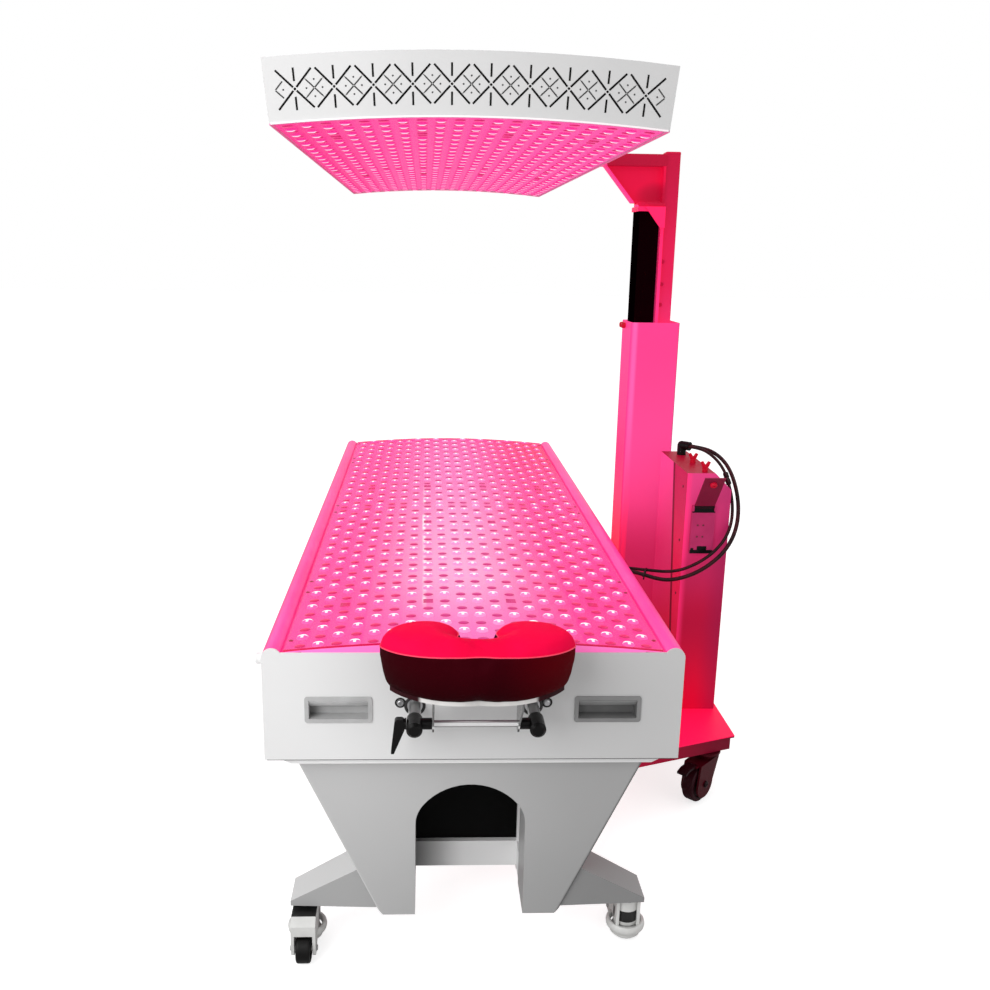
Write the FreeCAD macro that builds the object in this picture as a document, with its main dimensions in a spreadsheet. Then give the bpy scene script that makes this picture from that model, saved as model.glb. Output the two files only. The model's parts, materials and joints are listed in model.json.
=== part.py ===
import FreeCAD, Part
import math
import os
from types import SimpleNamespace

import Sketcher

# Red light therapy bed: a lit lying bed on two arched pedestals, a face cradle at its head end and a rolling stand
# that lifts a lit canopy over it. The bed lies along Y with its head end at -Y, and the stand is on its +X side.
# Pieces are drawn about the bed's centre on the floor, and each finished piece is then moved to the shared origin.

Vector = FreeCAD.Vector
Rotation = FreeCAD.Rotation

SIZES = {
    # bed box
    "bed_width": 750,
    "bed_length": 1950,
    "bed_top": 660,
    "bed_box_height": 214,
    "panel_gauge": 3,
    "sheet_gauge": 2,
    "shoulder_radius": 18,
    "shoulder_rise": 8,
    "ledge_width": 20,
    "ledge_gauge": 4,
    "tray_inset": 14,
    "tray_drop": 16,
    "tray_taper": 31,
    # arched light decks
    "deck_radius": 3300,
    "deck_angle": 11.7,
    "deck_rise": 12,
    "cover_gauge": 5,
    "board_gauge": 4,
    "strip_angle": 10.6,
    "strip_height": 14,
    "strip_gauge": 4,
    # flush pulls in the end panels
    "pull_width": 120,
    "pull_height": 50,
    "pull_spacing": 482,
    "pull_drop": 116,
    "pull_border": 5,
    "pull_flange": 2,
    "pull_depth": 26,
    "pull_wall": 2,
    "fit_gap": 0.3,
    # side peg
    "peg_radius": 10,
    "peg_length": 13,
    "peg_drop": 28,
    "peg_setback": 25,
    # drivers of the lights
    "driver_length": 220,
    "driver_width": 62,
    "driver_height": 38,
    "driver_pitch": 560,
    "driver_offset": 190,
    # pedestals
    "pedestal_setback": 40,
    "pedestal_depth": 96,
    "pedestal_top_width": 656,
    "pedestal_bottom_width": 344,
    "pedestal_low": 92,
    "pedestal_gauge": 3,
    "pedestal_edge": 6,
    "leg_chamfer": 6,
    "leg_chamfer_rise": 12,
    "arch_width": 208,
    "arch_top": 371,
    "arch_corner": 66,
    "arch_rise": 84,
    "frame_setback": 180,
    "frame_bar": 40,
    "upright_width": 44,
    "crossbar_height": 57,
    "crossbar_rise": 10,
    "back_panel_gauge": 3,
    "back_panel_setback": 12,
    # outrigger feet
    "foot_setback": 46,
    "foot_depth": 87,
    "foot_tip_depth": 72,
    "foot_reach": 345,
    "foot_tip": 10,
    "foot_root": 82,
    # levelling casters of the bed
    "bed_caster_height": 104,
    "bed_caster_x": 318,
    "bed_caster_setback": 90,
    "bed_wheel_radius": 28,
    "bed_wheel_width": 28,
    "bed_trail": 60,
    "bed_axle_radius": 5,
    "cheek_gauge": 6,
    "cheek_gap": 3.5,
    "hub_radius": 24,
    "race_radius": 27,
    "race_height": 8,
    "pad_radius": 30,
    "pad_lift": 14,
    "pad_height": 12,
    "dial_radius": 25,
    "dial_height": 11,
    "stud_radius": 6,
    "stud_top": 76,
    "running_gap": 0.06,
    "swivel_gap": 0.3,
    "hood_gauge": 5,
    "hood_slope": 14,
    "heading_head_left": 0,
    "heading_head_right": 180,
    "heading_foot_left": 160,
    "heading_foot_right": 20,
    # face cradle
    "post_radius": 11,
    "post_spacing": 210,
    "post_drop": 109,
    "post_reach": 77,
    "post_insert": 110,
    "socket_wall": 4,
    "socket_length": 120,
    "bracket_width": 86,
    "bracket_height": 48,
    "bracket_gauge": 4,
    "bolt_spacing": 262,
    "bolt_radius": 6,
    "cap_wall": 3,
    "cap_length": 44,
    "cap_nose": 20,
    "rod_radius": 6,
    "rod_reach": 68,
    "collar_radius": 10,
    "collar_length": 16,
    "link_gauge": 3,
    "link_base": 13,
    "link_foot": 22,
    "link_length": 74,
    "platform_low": 627,
    "platform_gauge": 8,
    "platform_inset": 20,
    "lever_hub_radius": 10,
    "lever_hub_length": 3,
    "lever_length": 54,
    "lever_tip_width": 5,
    "lever_crank": 6,
    "lever_width": 17,
    "lever_rise": 10,
    "lever_corner": 6,
    "lever_depth": 13,
    # crescent cushion
    "cushion_width": 332,
    "cushion_depth": 150,
    "cushion_gap": 25,
    "cushion_height": 98,
    # stand base
    "stand_y": 39,
    "base_right": 692,
    "base_top": 168,
    "base_half": 403,
    "base_splay": 20,
    "base_plate": 6,
    "base_lip": 8,
    "base_gauge": 3,
    "leg_end": -60,
    "leg_width": 110,
    "hub_edge": 430,
    "stand_caster_height": 128,
    "stand_caster_inset": 66,
    "stand_caster_edge": 36,
    "leg_caster_inset": 50,
    "caster_pad": 84,
    # casters of the stand
    "stand_wheel_radius": 50,
    "stand_wheel_width": 30,
    "stand_trail": 35,
    "stand_axle_radius": 6,
    "fork_gap": 4,
    "fork_gauge": 5,
    "fork_bridge": 4,
    "fork_drop": 24,
    "swivel_plate_radius": 36,
    "swivel_plate_gauge": 6,
    "kingpin_radius": 20,
    "pedal_length": 48,
    "pedal_width": 26,
    "pedal_gauge": 6,
    "pedal_pin_radius": 3,
    "pedal_ear": 4,
    "fork_round": 36,
    "heading_head_outer": 315,
    "heading_foot_outer": 20,
    "heading_head_inner": 200,
    "heading_foot_inner": 340,
    # column and lift
    "column_left": 477,
    "column_width": 136,
    "column_front": 130,
    "column_depth": 130,
    "column_top": 1156,
    "column_gauge": 3,
    "column_corner": 8,
    "stage_width": 56,
    "stage_depth": 80,
    "stage_margin": 10,
    "stage_corner": 5,
    "stage_gauge": 4,
    "stage_gap": 0.5,
    "stage_drop": 150,
    "stage_length": 755,
    "outer_stage_top": 1110,
    "bracket_cap": 12,
    "bracket_strip": 8,
    "strip_length": 567,
    "bracket_gusset": 55,
    "gusset_gauge": 6,
    "lift_post_width": 40,
    "lift_post_gauge": 3,
    "lift_post_rise": 61,
    "lift_post_length": 730,
    # canopy arm
    "beam_height": 30,
    "beam_depth": 60,
    "beam_drop": 2,
    "web_gauge": 6,
    "web_tip": 64,
    "web_foot": 84,
    "web_height": 96,
    "web_flange": 40,
    "arm_pad": 8,
    "arm_pad_length": 220,
    "arm_pad_margin": 10,
    # canopy
    "canopy_x": -14,
    "canopy_y": 191,
    "canopy_low": 1541,
    "canopy_angle": 11.9,
    "canopy_length": 2000,
    "canopy_height": 107,
    "vent_pitch": 1.13,
    "vent_half_width": 29,
    "vent_half_height": 30,
    "vent_centre_gap": 4,
    "vent_slot": 2.6,
    "vent_tick_start": 14,
    "vent_tick_end": 32,
    "vent_small": 15,
    "vent_small_slot": 1.4,
    "fan_size": 80,
    "fan_depth": 25,
    "fan_bore": 36,
    "fan_offset": 165,
    # power box
    "power_left": 567,
    "power_width": 114,
    "power_front": -216,
    "power_depth": 280,
    "power_height": 641,
    "power_chamfer": 43,
    "power_gauge": 2,
    "window_left": 583,
    "window_width": 60,
    "window_low": 601,
    "window_height": 117,
    "breaker_proud": 6,
    "breaker_depth": 46,
    "hinge_reach": 8,
    "hinge_rise": 6,
    "hinge_lug": 4,
    "hinge_pin_radius": 1.5,
    "hinge_barrel_radius": 3.2,
    "flap_gauge": 3,
    "flap_length": 118,
    "flap_lean": 40,
    # cable fittings
    "elbow_x": 611,
    "elbow_y": 20,
    "elbow_radius": 12,
    "elbow_rise": 26,
    "elbow_outlet": 25,
    "elbow_heading": -45,
    "gland_radius": 10,
    "gland_tip_radius": 7,
    "gland_length": 18,
    "wing_hub_radius": 7,
    "wing_stud": 10,
    "wing_span": 26,
    "wing_height": 14,
    "wing_gauge": 4,
    # cords
    "cord_outer_diameter": 10,
    "cord_inner_diameter": 8,
}


class Dim:
    """A size that carries its value and the sheet expression that gives it."""

    def __init__(self, value, text):
        self.value = float(value)
        self.text = text

    @staticmethod
    def of(amount):
        return amount if isinstance(amount, Dim) else Dim(amount, f"({float(amount)!r})")

    def __add__(self, other):
        other = Dim.of(other)
        return Dim(self.value + other.value, f"({self.text} + {other.text})")

    def __sub__(self, other):
        other = Dim.of(other)
        return Dim(self.value - other.value, f"({self.text} - {other.text})")

    def __mul__(self, other):
        other = Dim.of(other)
        return Dim(self.value * other.value, f"({self.text} * {other.text})")

    def __truediv__(self, other):
        other = Dim.of(other)
        return Dim(self.value / other.value, f"({self.text} / {other.text})")

    def __neg__(self):
        return Dim(-self.value, f"(-{self.text})")

    __radd__ = __add__
    __rmul__ = __mul__

    def __rsub__(self, other):
        return Dim.of(other) - self


def sine(angle):
    return Dim(math.sin(math.radians(angle.value)), f"sin({angle.text} * 1 deg)")


def cosine(angle):
    return Dim(math.cos(math.radians(angle.value)), f"cos({angle.text} * 1 deg)")


def tangent(angle):
    return Dim(math.tan(math.radians(angle.value)), f"tan({angle.text} * 1 deg)")


def root(amount):
    return Dim(math.sqrt(amount.value), f"sqrt({amount.text})")


doc = FreeCAD.newDocument("light_therapy_bed")
sheet = doc.addObject("Spreadsheet::Sheet", "Sizes")
for row, (alias, number) in enumerate(SIZES.items(), start=1):
    sheet.set(f"A{row}", alias)
    sheet.set(f"B{row}", str(number))
    sheet.setAlias(f"B{row}", alias)
doc.recompute()
s = SimpleNamespace(**{alias: Dim(sheet.get(alias), f"Sizes.{alias}") for alias in SIZES})

# Lines and levels that several pieces share.
half_width = s.bed_width / 2
half_length = s.bed_length / 2
panel_low = s.bed_top - s.bed_box_height
flat_top = s.bed_top - s.shoulder_rise
shoulder_z = s.bed_top - s.shoulder_radius
shoulder_x = half_width - s.shoulder_radius
shoulder_in = shoulder_x - root(s.shoulder_radius * s.shoulder_radius - (flat_top - shoulder_z) * (flat_top - shoulder_z))
deck_half = s.deck_angle / 2
deck_centre = s.bed_top + s.deck_rise - s.deck_radius
board_under = s.deck_radius - s.cover_gauge - s.board_gauge
ledge_top = deck_centre + board_under * cosine(deck_half)
tray_low = panel_low - s.tray_drop
post_z = s.bed_top - s.post_drop
post_x = s.post_spacing / 2
rod_y = -(half_length + s.rod_reach)
lift_y = s.column_front + s.column_depth / 2
stage_left = s.column_left + s.stage_margin
strip_left = stage_left + s.stage_width + s.stage_gauge + 2 * s.stage_gap
lift_post_left = strip_left + s.bracket_strip
lift_post_top = s.canopy_low + s.lift_post_rise
stage_top = lift_post_top - s.stage_drop
bracket_top = stage_top + s.bracket_cap
canopy_half = s.canopy_angle / 2
canopy_centre = s.canopy_low - s.deck_radius * cosine(canopy_half)
canopy_front = s.canopy_y - s.canopy_length / 2
canopy_back = s.canopy_y + s.canopy_length / 2
power_top = s.base_top + s.power_height
cushion_front = half_length + s.cushion_gap + s.cushion_depth

# The shared origin is under the middle of the whole object.
frame_x = (s.base_right - half_width - s.peg_length) / 2
frame_y = (canopy_back - cushion_front) / 2

PLANES = {
    "XY": Rotation(),
    "XZ": Rotation(Vector(1, 0, 0), 90),
    "YZ": Rotation(Vector(1, 1, 1), 120),
}
NORMALS = {"XY": Vector(0, 0, 1), "XZ": Vector(0, 1, 0), "YZ": Vector(1, 0, 0)}
THIRD_AXIS = {"XY": "z", "XZ": "y", "YZ": "x"}
TURNS = {
    "X": Rotation(Vector(0, 1, 0), 90),
    "-X": Rotation(Vector(0, 1, 0), -90),
    "Y": Rotation(Vector(1, 0, 0), -90),
    "-Y": Rotation(Vector(1, 0, 0), 90),
    "Z": Rotation(),
}


def bind(thing, prop, amount):
    thing.setExpression(prop, Dim.of(amount).text)


def move(thing, x=0, y=0, z=0):
    for axis, amount in zip("xyz", (x, y, z)):
        bind(thing, f"Placement.Base.{axis}", amount)


def block(name, x, y, z):
    """Box between two corners; each span is (low, high)."""
    solid = doc.addObject("Part::Box", name)
    for prop, (low, high) in zip(("Length", "Width", "Height"), (x, y, z)):
        bind(solid, prop, Dim.of(high) - low)
    move(solid, x[0], y[0], z[0])
    return solid


def rod(name, radius, along, start, length, across):
    """Round bar along an axis; across holds its two other coordinates, in X, Y, Z order."""
    solid = doc.addObject("Part::Cylinder", name)
    solid.Placement.Rotation = TURNS[along]
    bind(solid, "Radius", radius)
    bind(solid, "Height", length)
    at = list(across)
    at.insert("XYZ".index(along[-1]), start)
    move(solid, *at)
    return solid


def tie(sketch, constraint, amount):
    index = sketch.addConstraint(constraint)
    sketch.setExpression(f"Constraints[{index}]", Dim.of(amount).text)


def draw(sketch, corners):
    """Close an outline whose corners are tied to the sheet. A third value on a corner is the radius of the arc
    to the next corner, positive where the outline turns left along it and negative where it turns right."""
    first = sketch.GeometryCount
    heads = []
    tails = []
    for index, corner in enumerate(corners):
        following = corners[(index + 1) % len(corners)]
        start = Vector(Dim.of(corner[0]).value, Dim.of(corner[1]).value, 0)
        end = Vector(Dim.of(following[0]).value, Dim.of(following[1]).value, 0)
        if len(corner) == 2:
            sketch.addGeometry(Part.LineSegment(start, end))
            heads.append(1)
            tails.append(2)
            continue
        radius = Dim.of(corner[2]).value
        chord = end - start
        left = Vector(-chord.y, chord.x, 0).normalize()
        rise = math.sqrt(max(radius * radius - chord.Length * chord.Length / 4, 0))
        centre = (start + end) / 2 + left * math.copysign(rise, radius)
        begin = math.atan2(start.y - centre.y, start.x - centre.x)
        finish = math.atan2(end.y - centre.y, end.x - centre.x)
        circle = Part.Circle(centre, Vector(0, 0, 1), abs(radius))
        if radius > 0:
            sketch.addGeometry(Part.ArcOfCircle(circle, begin, finish))
            heads.append(1)
            tails.append(2)
        else:
            sketch.addGeometry(Part.ArcOfCircle(circle, finish, begin))
            heads.append(2)
            tails.append(1)
    for index, corner in enumerate(corners):
        piece = first + index
        after = (index + 1) % len(corners)
        sketch.addConstraint(Sketcher.Constraint("Coincident", piece, tails[index], first + after, heads[after]))
        for kind, amount in zip(("DistanceX", "DistanceY"), corner):
            amount = Dim.of(amount)
            tie(sketch, Sketcher.Constraint(kind, -1, 1, piece, heads[index], amount.value), amount)
        if len(corner) == 3:
            radius = Dim.of(corner[2])
            size = radius if radius.value > 0 else -radius
            tie(sketch, Sketcher.Constraint("Radius", piece, size.value), size)


def prism(name, plane, corners, span, at=(0, 0, 0)):
    """Outline in a plane, extruded over a span of the third axis."""
    sketch = doc.addObject("Sketcher::SketchObject", f"{name}_outline")
    sketch.Placement.Rotation = PLANES[plane]
    place = dict(zip("xyz", at))
    place[THIRD_AXIS[plane]] = span[0]
    move(sketch, **place)
    draw(sketch, corners)
    solid = doc.addObject("Part::Extrusion", name)
    solid.Base = sketch
    solid.DirMode = "Custom"
    solid.Dir = NORMALS[plane]
    bind(solid, "LengthFwd", Dim.of(span[1]) - span[0])
    solid.Solid = True
    return solid


def body_sketch(body, name, role):
    sketch = body.newObject("Sketcher::SketchObject", name)
    plane = [feature for feature in body.Origin.OriginFeatures if feature.Role == role][0]
    sketch.AttachmentSupport = (plane, [""])
    sketch.MapMode = "FlatFace"
    return sketch


def turned(name, profile, along, at):
    """Piece turned about an axis; the profile's corners are (radius, distance along the axis)."""
    body = doc.addObject("PartDesign::Body", name)
    sketch = body_sketch(body, f"{name}_profile", "XZ_Plane")
    draw(sketch, profile)
    turn = body.newObject("PartDesign::Revolution", f"{name}_turn")
    turn.Profile = sketch
    turn.ReferenceAxis = (sketch, ["V_Axis"])
    turn.Angle = 360
    body.Placement.Rotation = TURNS[along]
    move(body, *at)
    return body


def fuse(name, *solids):
    joined = doc.addObject("Part::MultiFuse", name)
    joined.Shapes = list(solids)
    joined.Refine = True
    return joined


def cut(name, base, *tools):
    result = doc.addObject("Part::Cut", name)
    result.Base = base
    result.Tool = tools[0] if len(tools) == 1 else fuse(f"{name}_tools", *tools)
    result.Refine = True
    return result


def common(name, *solids):
    result = doc.addObject("Part::MultiCommon", name)
    result.Shapes = list(solids)
    return result


def mirrored(name, source, axis):
    """Copy of a piece on the other side of the bed's middle plane across an axis."""
    copy = doc.addObject("Part::Mirroring", name)
    copy.Source = source
    copy.Normal = {"X": Vector(1, 0, 0), "Y": Vector(0, 1, 0)}[axis]
    return copy


def at_both_ends(name, source):
    return [source, mirrored(f"{name}_foot", source, "Y")]


def at_four_corners(name, source):
    pair = [source, mirrored(f"{name}_left", source, "X")]
    return pair + [mirrored(f"{piece.Name}_foot", piece, "Y") for piece in pair]


nodes = []


def node(name, *solids, at=(0, 0), heading=Dim.of(0)):
    """Finished piece, moved to the shared origin; casters also get their own place and heading."""
    group = doc.addObject("Part::Compound", f"{name}_node")
    group.Label = name
    group.Links = list(solids)
    group.Placement.Rotation = Rotation(Vector(0, 0, 1), heading.value)
    move(group, Dim.of(at[0]) - frame_x, Dim.of(at[1]) - frame_y, 0)
    nodes.append(group)


def sector(half, inner, outer):
    """Arched strip about the centre of its arcs, between two radii."""
    return [
        (-inner * sine(half), inner * cosine(half), -inner),
        (inner * sine(half), inner * cosine(half)),
        (outer * sine(half), outer * cosine(half), outer),
        (-outer * sine(half), outer * cosine(half)),
    ]


def rounded(x, y, radius):
    """Rectangle with round corners."""
    return [
        (x[0] + radius, y[0]),
        (x[1] - radius, y[0], radius),
        (x[1], y[0] + radius),
        (x[1], y[1] - radius, radius),
        (x[1] - radius, y[1]),
        (x[0] + radius, y[1], radius),
        (x[0], y[1] - radius),
        (x[0], y[0] + radius, radius),
    ]


def rounded_tube(name, x, y, z, radius, gauge):
    outside = prism(f"{name}_outside", "XY", rounded(x, y, radius), z)
    hole_x = (x[0] + gauge, x[1] - gauge)
    hole_y = (y[0] + gauge, y[1] - gauge)
    hole = block(f"{name}_hole", hole_x, hole_y, z)
    return cut(name, outside, hole)


def end_panels():
    """Flat white panels that close both ends of the bed, with the rails' round shoulders at their top corners."""
    shape = [
        (-half_width, panel_low),
        (half_width, panel_low),
        (half_width, shoulder_z, s.shoulder_radius),
        (shoulder_x, s.bed_top, s.shoulder_radius),
        (shoulder_in, flat_top),
        (-shoulder_in, flat_top, s.shoulder_radius),
        (-shoulder_x, s.bed_top, s.shoulder_radius),
        (-half_width, shoulder_z),
    ]
    thickness = (-half_length, s.panel_gauge - half_length)
    plate = prism("panel_plate", "XZ", shape, thickness)
    opening = pull_opening("pull_opening", 0)
    pulls = [opening, mirrored("pull_opening_left", opening, "X")]
    plain = cut("panel_with_pulls", plate, *pulls)
    socket_radius = s.post_radius + s.socket_wall
    hole = rod("panel_socket_hole", socket_radius, "Y", thickness[0], s.panel_gauge, (post_x, post_z))
    head = cut("head_panel", plain, hole, mirrored("panel_socket_hole_left", hole, "X"))
    node("end_panels", head, mirrored("foot_panel", plain, "Y"))


def pull_opening(name, clearance):
    half_x = s.pull_width / 2 - s.pull_border - clearance
    half_z = s.pull_height / 2 - s.pull_border - clearance
    middle_x = s.pull_spacing / 2
    middle_z = s.bed_top - s.pull_drop
    thickness = (-half_length, s.panel_gauge - half_length)
    return block(name, (middle_x - half_x, middle_x + half_x), thickness, (middle_z - half_z, middle_z + half_z))


def flush_pulls():
    """Recessed finger pulls: a thin flange on the panel and a cup behind it."""
    middle_x = s.pull_spacing / 2
    middle_z = s.bed_top - s.pull_drop
    flange = prism(
        "pull_plate",
        "XZ",
        rounded(
            (middle_x - s.pull_width / 2, middle_x + s.pull_width / 2),
            (middle_z - s.pull_height / 2, middle_z + s.pull_height / 2),
            s.pull_border,
        ),
        (-half_length - s.pull_flange, -half_length),
    )
    cup_x = s.pull_width / 2 - s.pull_border - s.fit_gap
    cup_z = s.pull_height / 2 - s.pull_border - s.fit_gap
    cup = block(
        "pull_cup",
        (middle_x - cup_x, middle_x + cup_x),
        (-half_length, s.pull_depth - half_length),
        (middle_z - cup_z, middle_z + cup_z),
    )
    inside_x = cup_x - s.pull_wall
    inside_z = cup_z - s.pull_wall
    inside = block(
        "pull_inside",
        (middle_x - inside_x, middle_x + inside_x),
        (-half_length - s.pull_flange, s.pull_depth - s.pull_wall - half_length),
        (middle_z - inside_z, middle_z + inside_z),
    )
    pull = cut("pull", fuse("pull_body", flange, cup), inside)
    node("flush_pulls", *at_four_corners("pull", pull))


def side_rails():
    """Side sheets with a round shoulder along the top and a ledge inside it that carries the light deck."""
    ledge_in = shoulder_in - s.ledge_width
    ledge_low = ledge_top - s.ledge_gauge
    side_in = half_width - s.sheet_gauge
    shape = [
        (half_width, panel_low),
        (half_width, shoulder_z, s.shoulder_radius),
        (shoulder_x, s.bed_top, s.shoulder_radius),
        (shoulder_in, flat_top),
        (shoulder_in, ledge_top),
        (ledge_in, ledge_top),
        (ledge_in, ledge_low),
        (side_in, ledge_low),
        (side_in, panel_low),
    ]
    reach = half_length - s.panel_gauge
    rail = prism("right_rail", "XZ", shape, (-reach, reach))
    node("side_rails", rail, mirrored("left_rail", rail, "X"))


def bed_tray():
    """Pan with sloping sides that closes the bed below, hung on a rim between the side sheets and end panels."""
    pan_x = half_width - s.tray_inset
    pan_y = half_length - s.tray_inset
    rim_x = half_width - s.sheet_gauge
    rim_y = half_length - s.panel_gauge
    rim_top = panel_low + s.sheet_gauge
    floor_x = pan_x - s.tray_taper
    hull = [(-floor_x, tray_low), (floor_x, tray_low), (pan_x, panel_low), (-pan_x, panel_low)]
    pan = prism("tray_pan", "XZ", hull, (-pan_y, pan_y))
    rim = block("tray_rim", (-rim_x, rim_x), (-rim_y, rim_y), (panel_low, rim_top))
    side = 2 * s.sheet_gauge
    well_x = floor_x - side
    well_top = pan_x - side
    well_y = pan_y - s.sheet_gauge
    floor = tray_low + s.sheet_gauge
    hollow = [(-well_x, floor), (well_x, floor), (well_top, rim_top), (-well_top, rim_top)]
    well = prism("tray_well", "XZ", hollow, (-well_y, well_y))
    node("bed_tray", cut("tray", fuse("tray_blank", pan, rim), well))


def bed_deck():
    """Arched light board on the rails' ledges, under a clear sheet with curved strips at its ends."""
    reach = half_length - s.panel_gauge
    cover_under = s.deck_radius - s.cover_gauge
    centre = (0, 0, deck_centre)
    sheet_span = (-reach, reach)
    clear = prism("bed_sheet", "XZ", sector(deck_half, cover_under, s.deck_radius), sheet_span, centre)
    strip_shape = sector(s.strip_angle / 2, cover_under - s.strip_height, cover_under)
    strip = prism("bed_end_strip", "XZ", strip_shape, (-reach, s.strip_gauge - reach), centre)
    node("bed_clear_cover", fuse("bed_cover", clear, *at_both_ends("bed_end_strip", strip)))
    board_reach = reach - s.strip_gauge - s.fit_gap
    board_shape = sector(deck_half, board_under, cover_under)
    board = prism("bed_board", "XZ", board_shape, (-board_reach, board_reach), centre)
    node("bed_led_deck", board)


def led_drivers():
    """Power supplies of the lights: rows on the floor of the tray and a stack in the power box."""
    floor = tray_low + s.sheet_gauge
    drivers = []
    for row in (-1, 0, 1):
        for side in (-1, 1):
            x = side * s.driver_offset
            y = row * s.driver_pitch
            span_x = (x - s.driver_width / 2, x + s.driver_width / 2)
            span_y = (y - s.driver_length / 2, y + s.driver_length / 2)
            drivers.append(block(f"bed_driver_{len(drivers)}", span_x, span_y, (floor, floor + s.driver_height)))
    inside_x = s.power_left + s.power_gauge
    inside_z = s.base_top + s.power_gauge
    for level in range(3):
        x = inside_x + level * (s.driver_height - 6)
        span_x = (x, x + s.driver_height - 8)
        back = s.power_front + s.power_depth - s.power_gauge
        span_y = (back - s.driver_length, back)
        drivers.append(block(f"box_supply_{level}", span_x, span_y, (inside_z, inside_z + s.driver_width)))
    node("led_drivers", *drivers)


def side_peg():
    """Short white peg on the left side, near the head end."""
    bevel = s.peg_radius / 4
    profile = [
        (0, 0),
        (s.peg_radius, 0),
        (s.peg_radius, s.peg_length - bevel, bevel),
        (s.peg_radius - bevel, s.peg_length),
        (0, s.peg_length),
    ]
    place = (-half_width, s.peg_setback - half_length, s.bed_top - s.peg_drop)
    node("side_peg", turned("peg", profile, "-X", place))


def pedestal_side(z):
    """Half width of the pedestal at a height."""
    spread = (s.pedestal_top_width - s.pedestal_bottom_width) / 2
    return s.pedestal_bottom_width / 2 + spread * (z - s.pedestal_low) / (tray_low - s.pedestal_low)


def trapezoid(inset):
    """Outline of the pedestal with its outer bottom corners cut off, drawn in by an inset."""
    low = s.pedestal_low + inset
    chamfer = low + s.leg_chamfer_rise
    high = tray_low - inset
    foot = pedestal_side(low) - s.leg_chamfer - inset
    ankle = pedestal_side(chamfer) - inset
    head = pedestal_side(high) - inset
    return [(-foot, low), (foot, low), (ankle, chamfer), (head, high), (-head, high), (-ankle, chamfer)]


def arch(swell):
    """Opening under a three-centred arch that runs out through the foot of the pedestal."""
    side = s.arch_width / 2 + swell
    corner = s.arch_corner + swell
    rise = s.arch_rise + swell
    spring = s.arch_top - s.arch_rise
    low = s.pedestal_low - s.pedestal_gauge
    inner = side - corner
    drop = (inner * inner - (rise - corner) * (rise - corner)) / (2 * (rise - corner))
    top = rise + drop
    haunch_x = top * inner / (top - corner)
    haunch_z = spring + top * drop / (top - corner) - drop
    return [
        (-side, low),
        (side, low),
        (side, spring, corner),
        (haunch_x, haunch_z, top),
        (-haunch_x, haunch_z, corner),
        (-side, spring),
    ]


def eased(name, blank, front):
    """Blank of the pedestal with its slanted front edges rounded."""
    doc.recompute()
    edges = []
    for index, edge in enumerate(blank.Shape.Edges, start=1):
        ends = [vertex.Point for vertex in edge.Vertexes]
        in_front = all(abs(point.y - front.value) < 0.01 for point in ends)
        if in_front and edge.BoundBox.ZLength > s.bed_box_height.value / 2:
            edges.append((index, s.pedestal_edge.value, s.pedestal_edge.value))
    result = doc.addObject("Part::Fillet", name)
    result.Base = blank
    result.Edges = edges
    return result


def pedestals():
    """Arched trapezoid covers at both ends, with a steel frame and a black panel behind the arch."""
    front = s.pedestal_setback - half_length
    back = front + s.pedestal_depth
    blank = prism("pedestal_blank", "XZ", trapezoid(0), (front, back))
    doorway = prism("pedestal_arch", "XZ", arch(0), (front, back))
    hollow = prism("pedestal_hollow", "XZ", trapezoid(s.pedestal_gauge), (front + s.pedestal_gauge, back))
    reveal = prism("pedestal_reveal", "XZ", arch(s.pedestal_gauge), (front, back))
    cavity = cut("pedestal_cavity", hollow, reveal)
    cover = cut("pedestal_cover", eased("pedestal_eased", blank, front), doorway, cavity)
    node("pedestal_covers", *at_both_ends("pedestal_cover", cover))

    frame_front = s.frame_setback - half_length
    frame_back = frame_front + s.frame_bar
    inside = s.arch_width / 2
    outside = inside + s.upright_width
    bar_low = s.pedestal_low + s.crossbar_rise
    bar_top = bar_low + s.crossbar_height
    upright = block("frame_upright", (inside, outside), (frame_front, frame_back), (s.pedestal_low, tray_low))
    sill = block("frame_sill", (inside, outside), (back, frame_front), (bar_low, bar_top))
    bar = block("frame_crossbar", (-inside, inside), (frame_front, frame_back), (bar_low, bar_top))
    beam_low = tray_low - s.frame_bar
    beam = block("frame_beam", (-inside, inside), (frame_front, frame_back), (beam_low, tray_low))
    sides = [upright, sill]
    sides += [mirrored(f"{piece.Name}_left", piece, "X") for piece in (upright, sill)]
    frame = fuse("pedestal_frame", bar, beam, *sides)
    node("pedestal_frames", *at_both_ends("pedestal_frame", frame))

    panel_front = frame_front + s.back_panel_setback
    panel_y = (panel_front, panel_front + s.back_panel_gauge)
    panel = block("back_panel", (-inside, inside), panel_y, (bar_top, beam_low))
    node("pedestal_back_panels", *at_both_ends("back_panel", panel))


def outrigger_feet():
    """Sloping feet welded to the pedestals' sides, each narrowing towards its tip over a caster."""
    low = s.bed_caster_height
    high = low + s.foot_root
    shape = [
        (pedestal_side(low), low),
        (s.foot_reach, low),
        (s.foot_reach, low + s.foot_tip),
        (pedestal_side(high), high),
    ]
    front = s.foot_setback - half_length
    back = front + s.foot_depth
    slope = prism("outrigger_slope", "XZ", shape, (front, back))
    taper = (s.foot_depth - s.foot_tip_depth) / 2
    plan_shape = [
        (pedestal_side(low), front),
        (s.foot_reach, front + taper),
        (s.foot_reach, back - taper),
        (pedestal_side(low), back),
    ]
    foot = common("outrigger", slope, prism("outrigger_plan", "XY", plan_shape, (low, high)))
    node("outrigger_feet", *at_four_corners("outrigger", foot))


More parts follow.
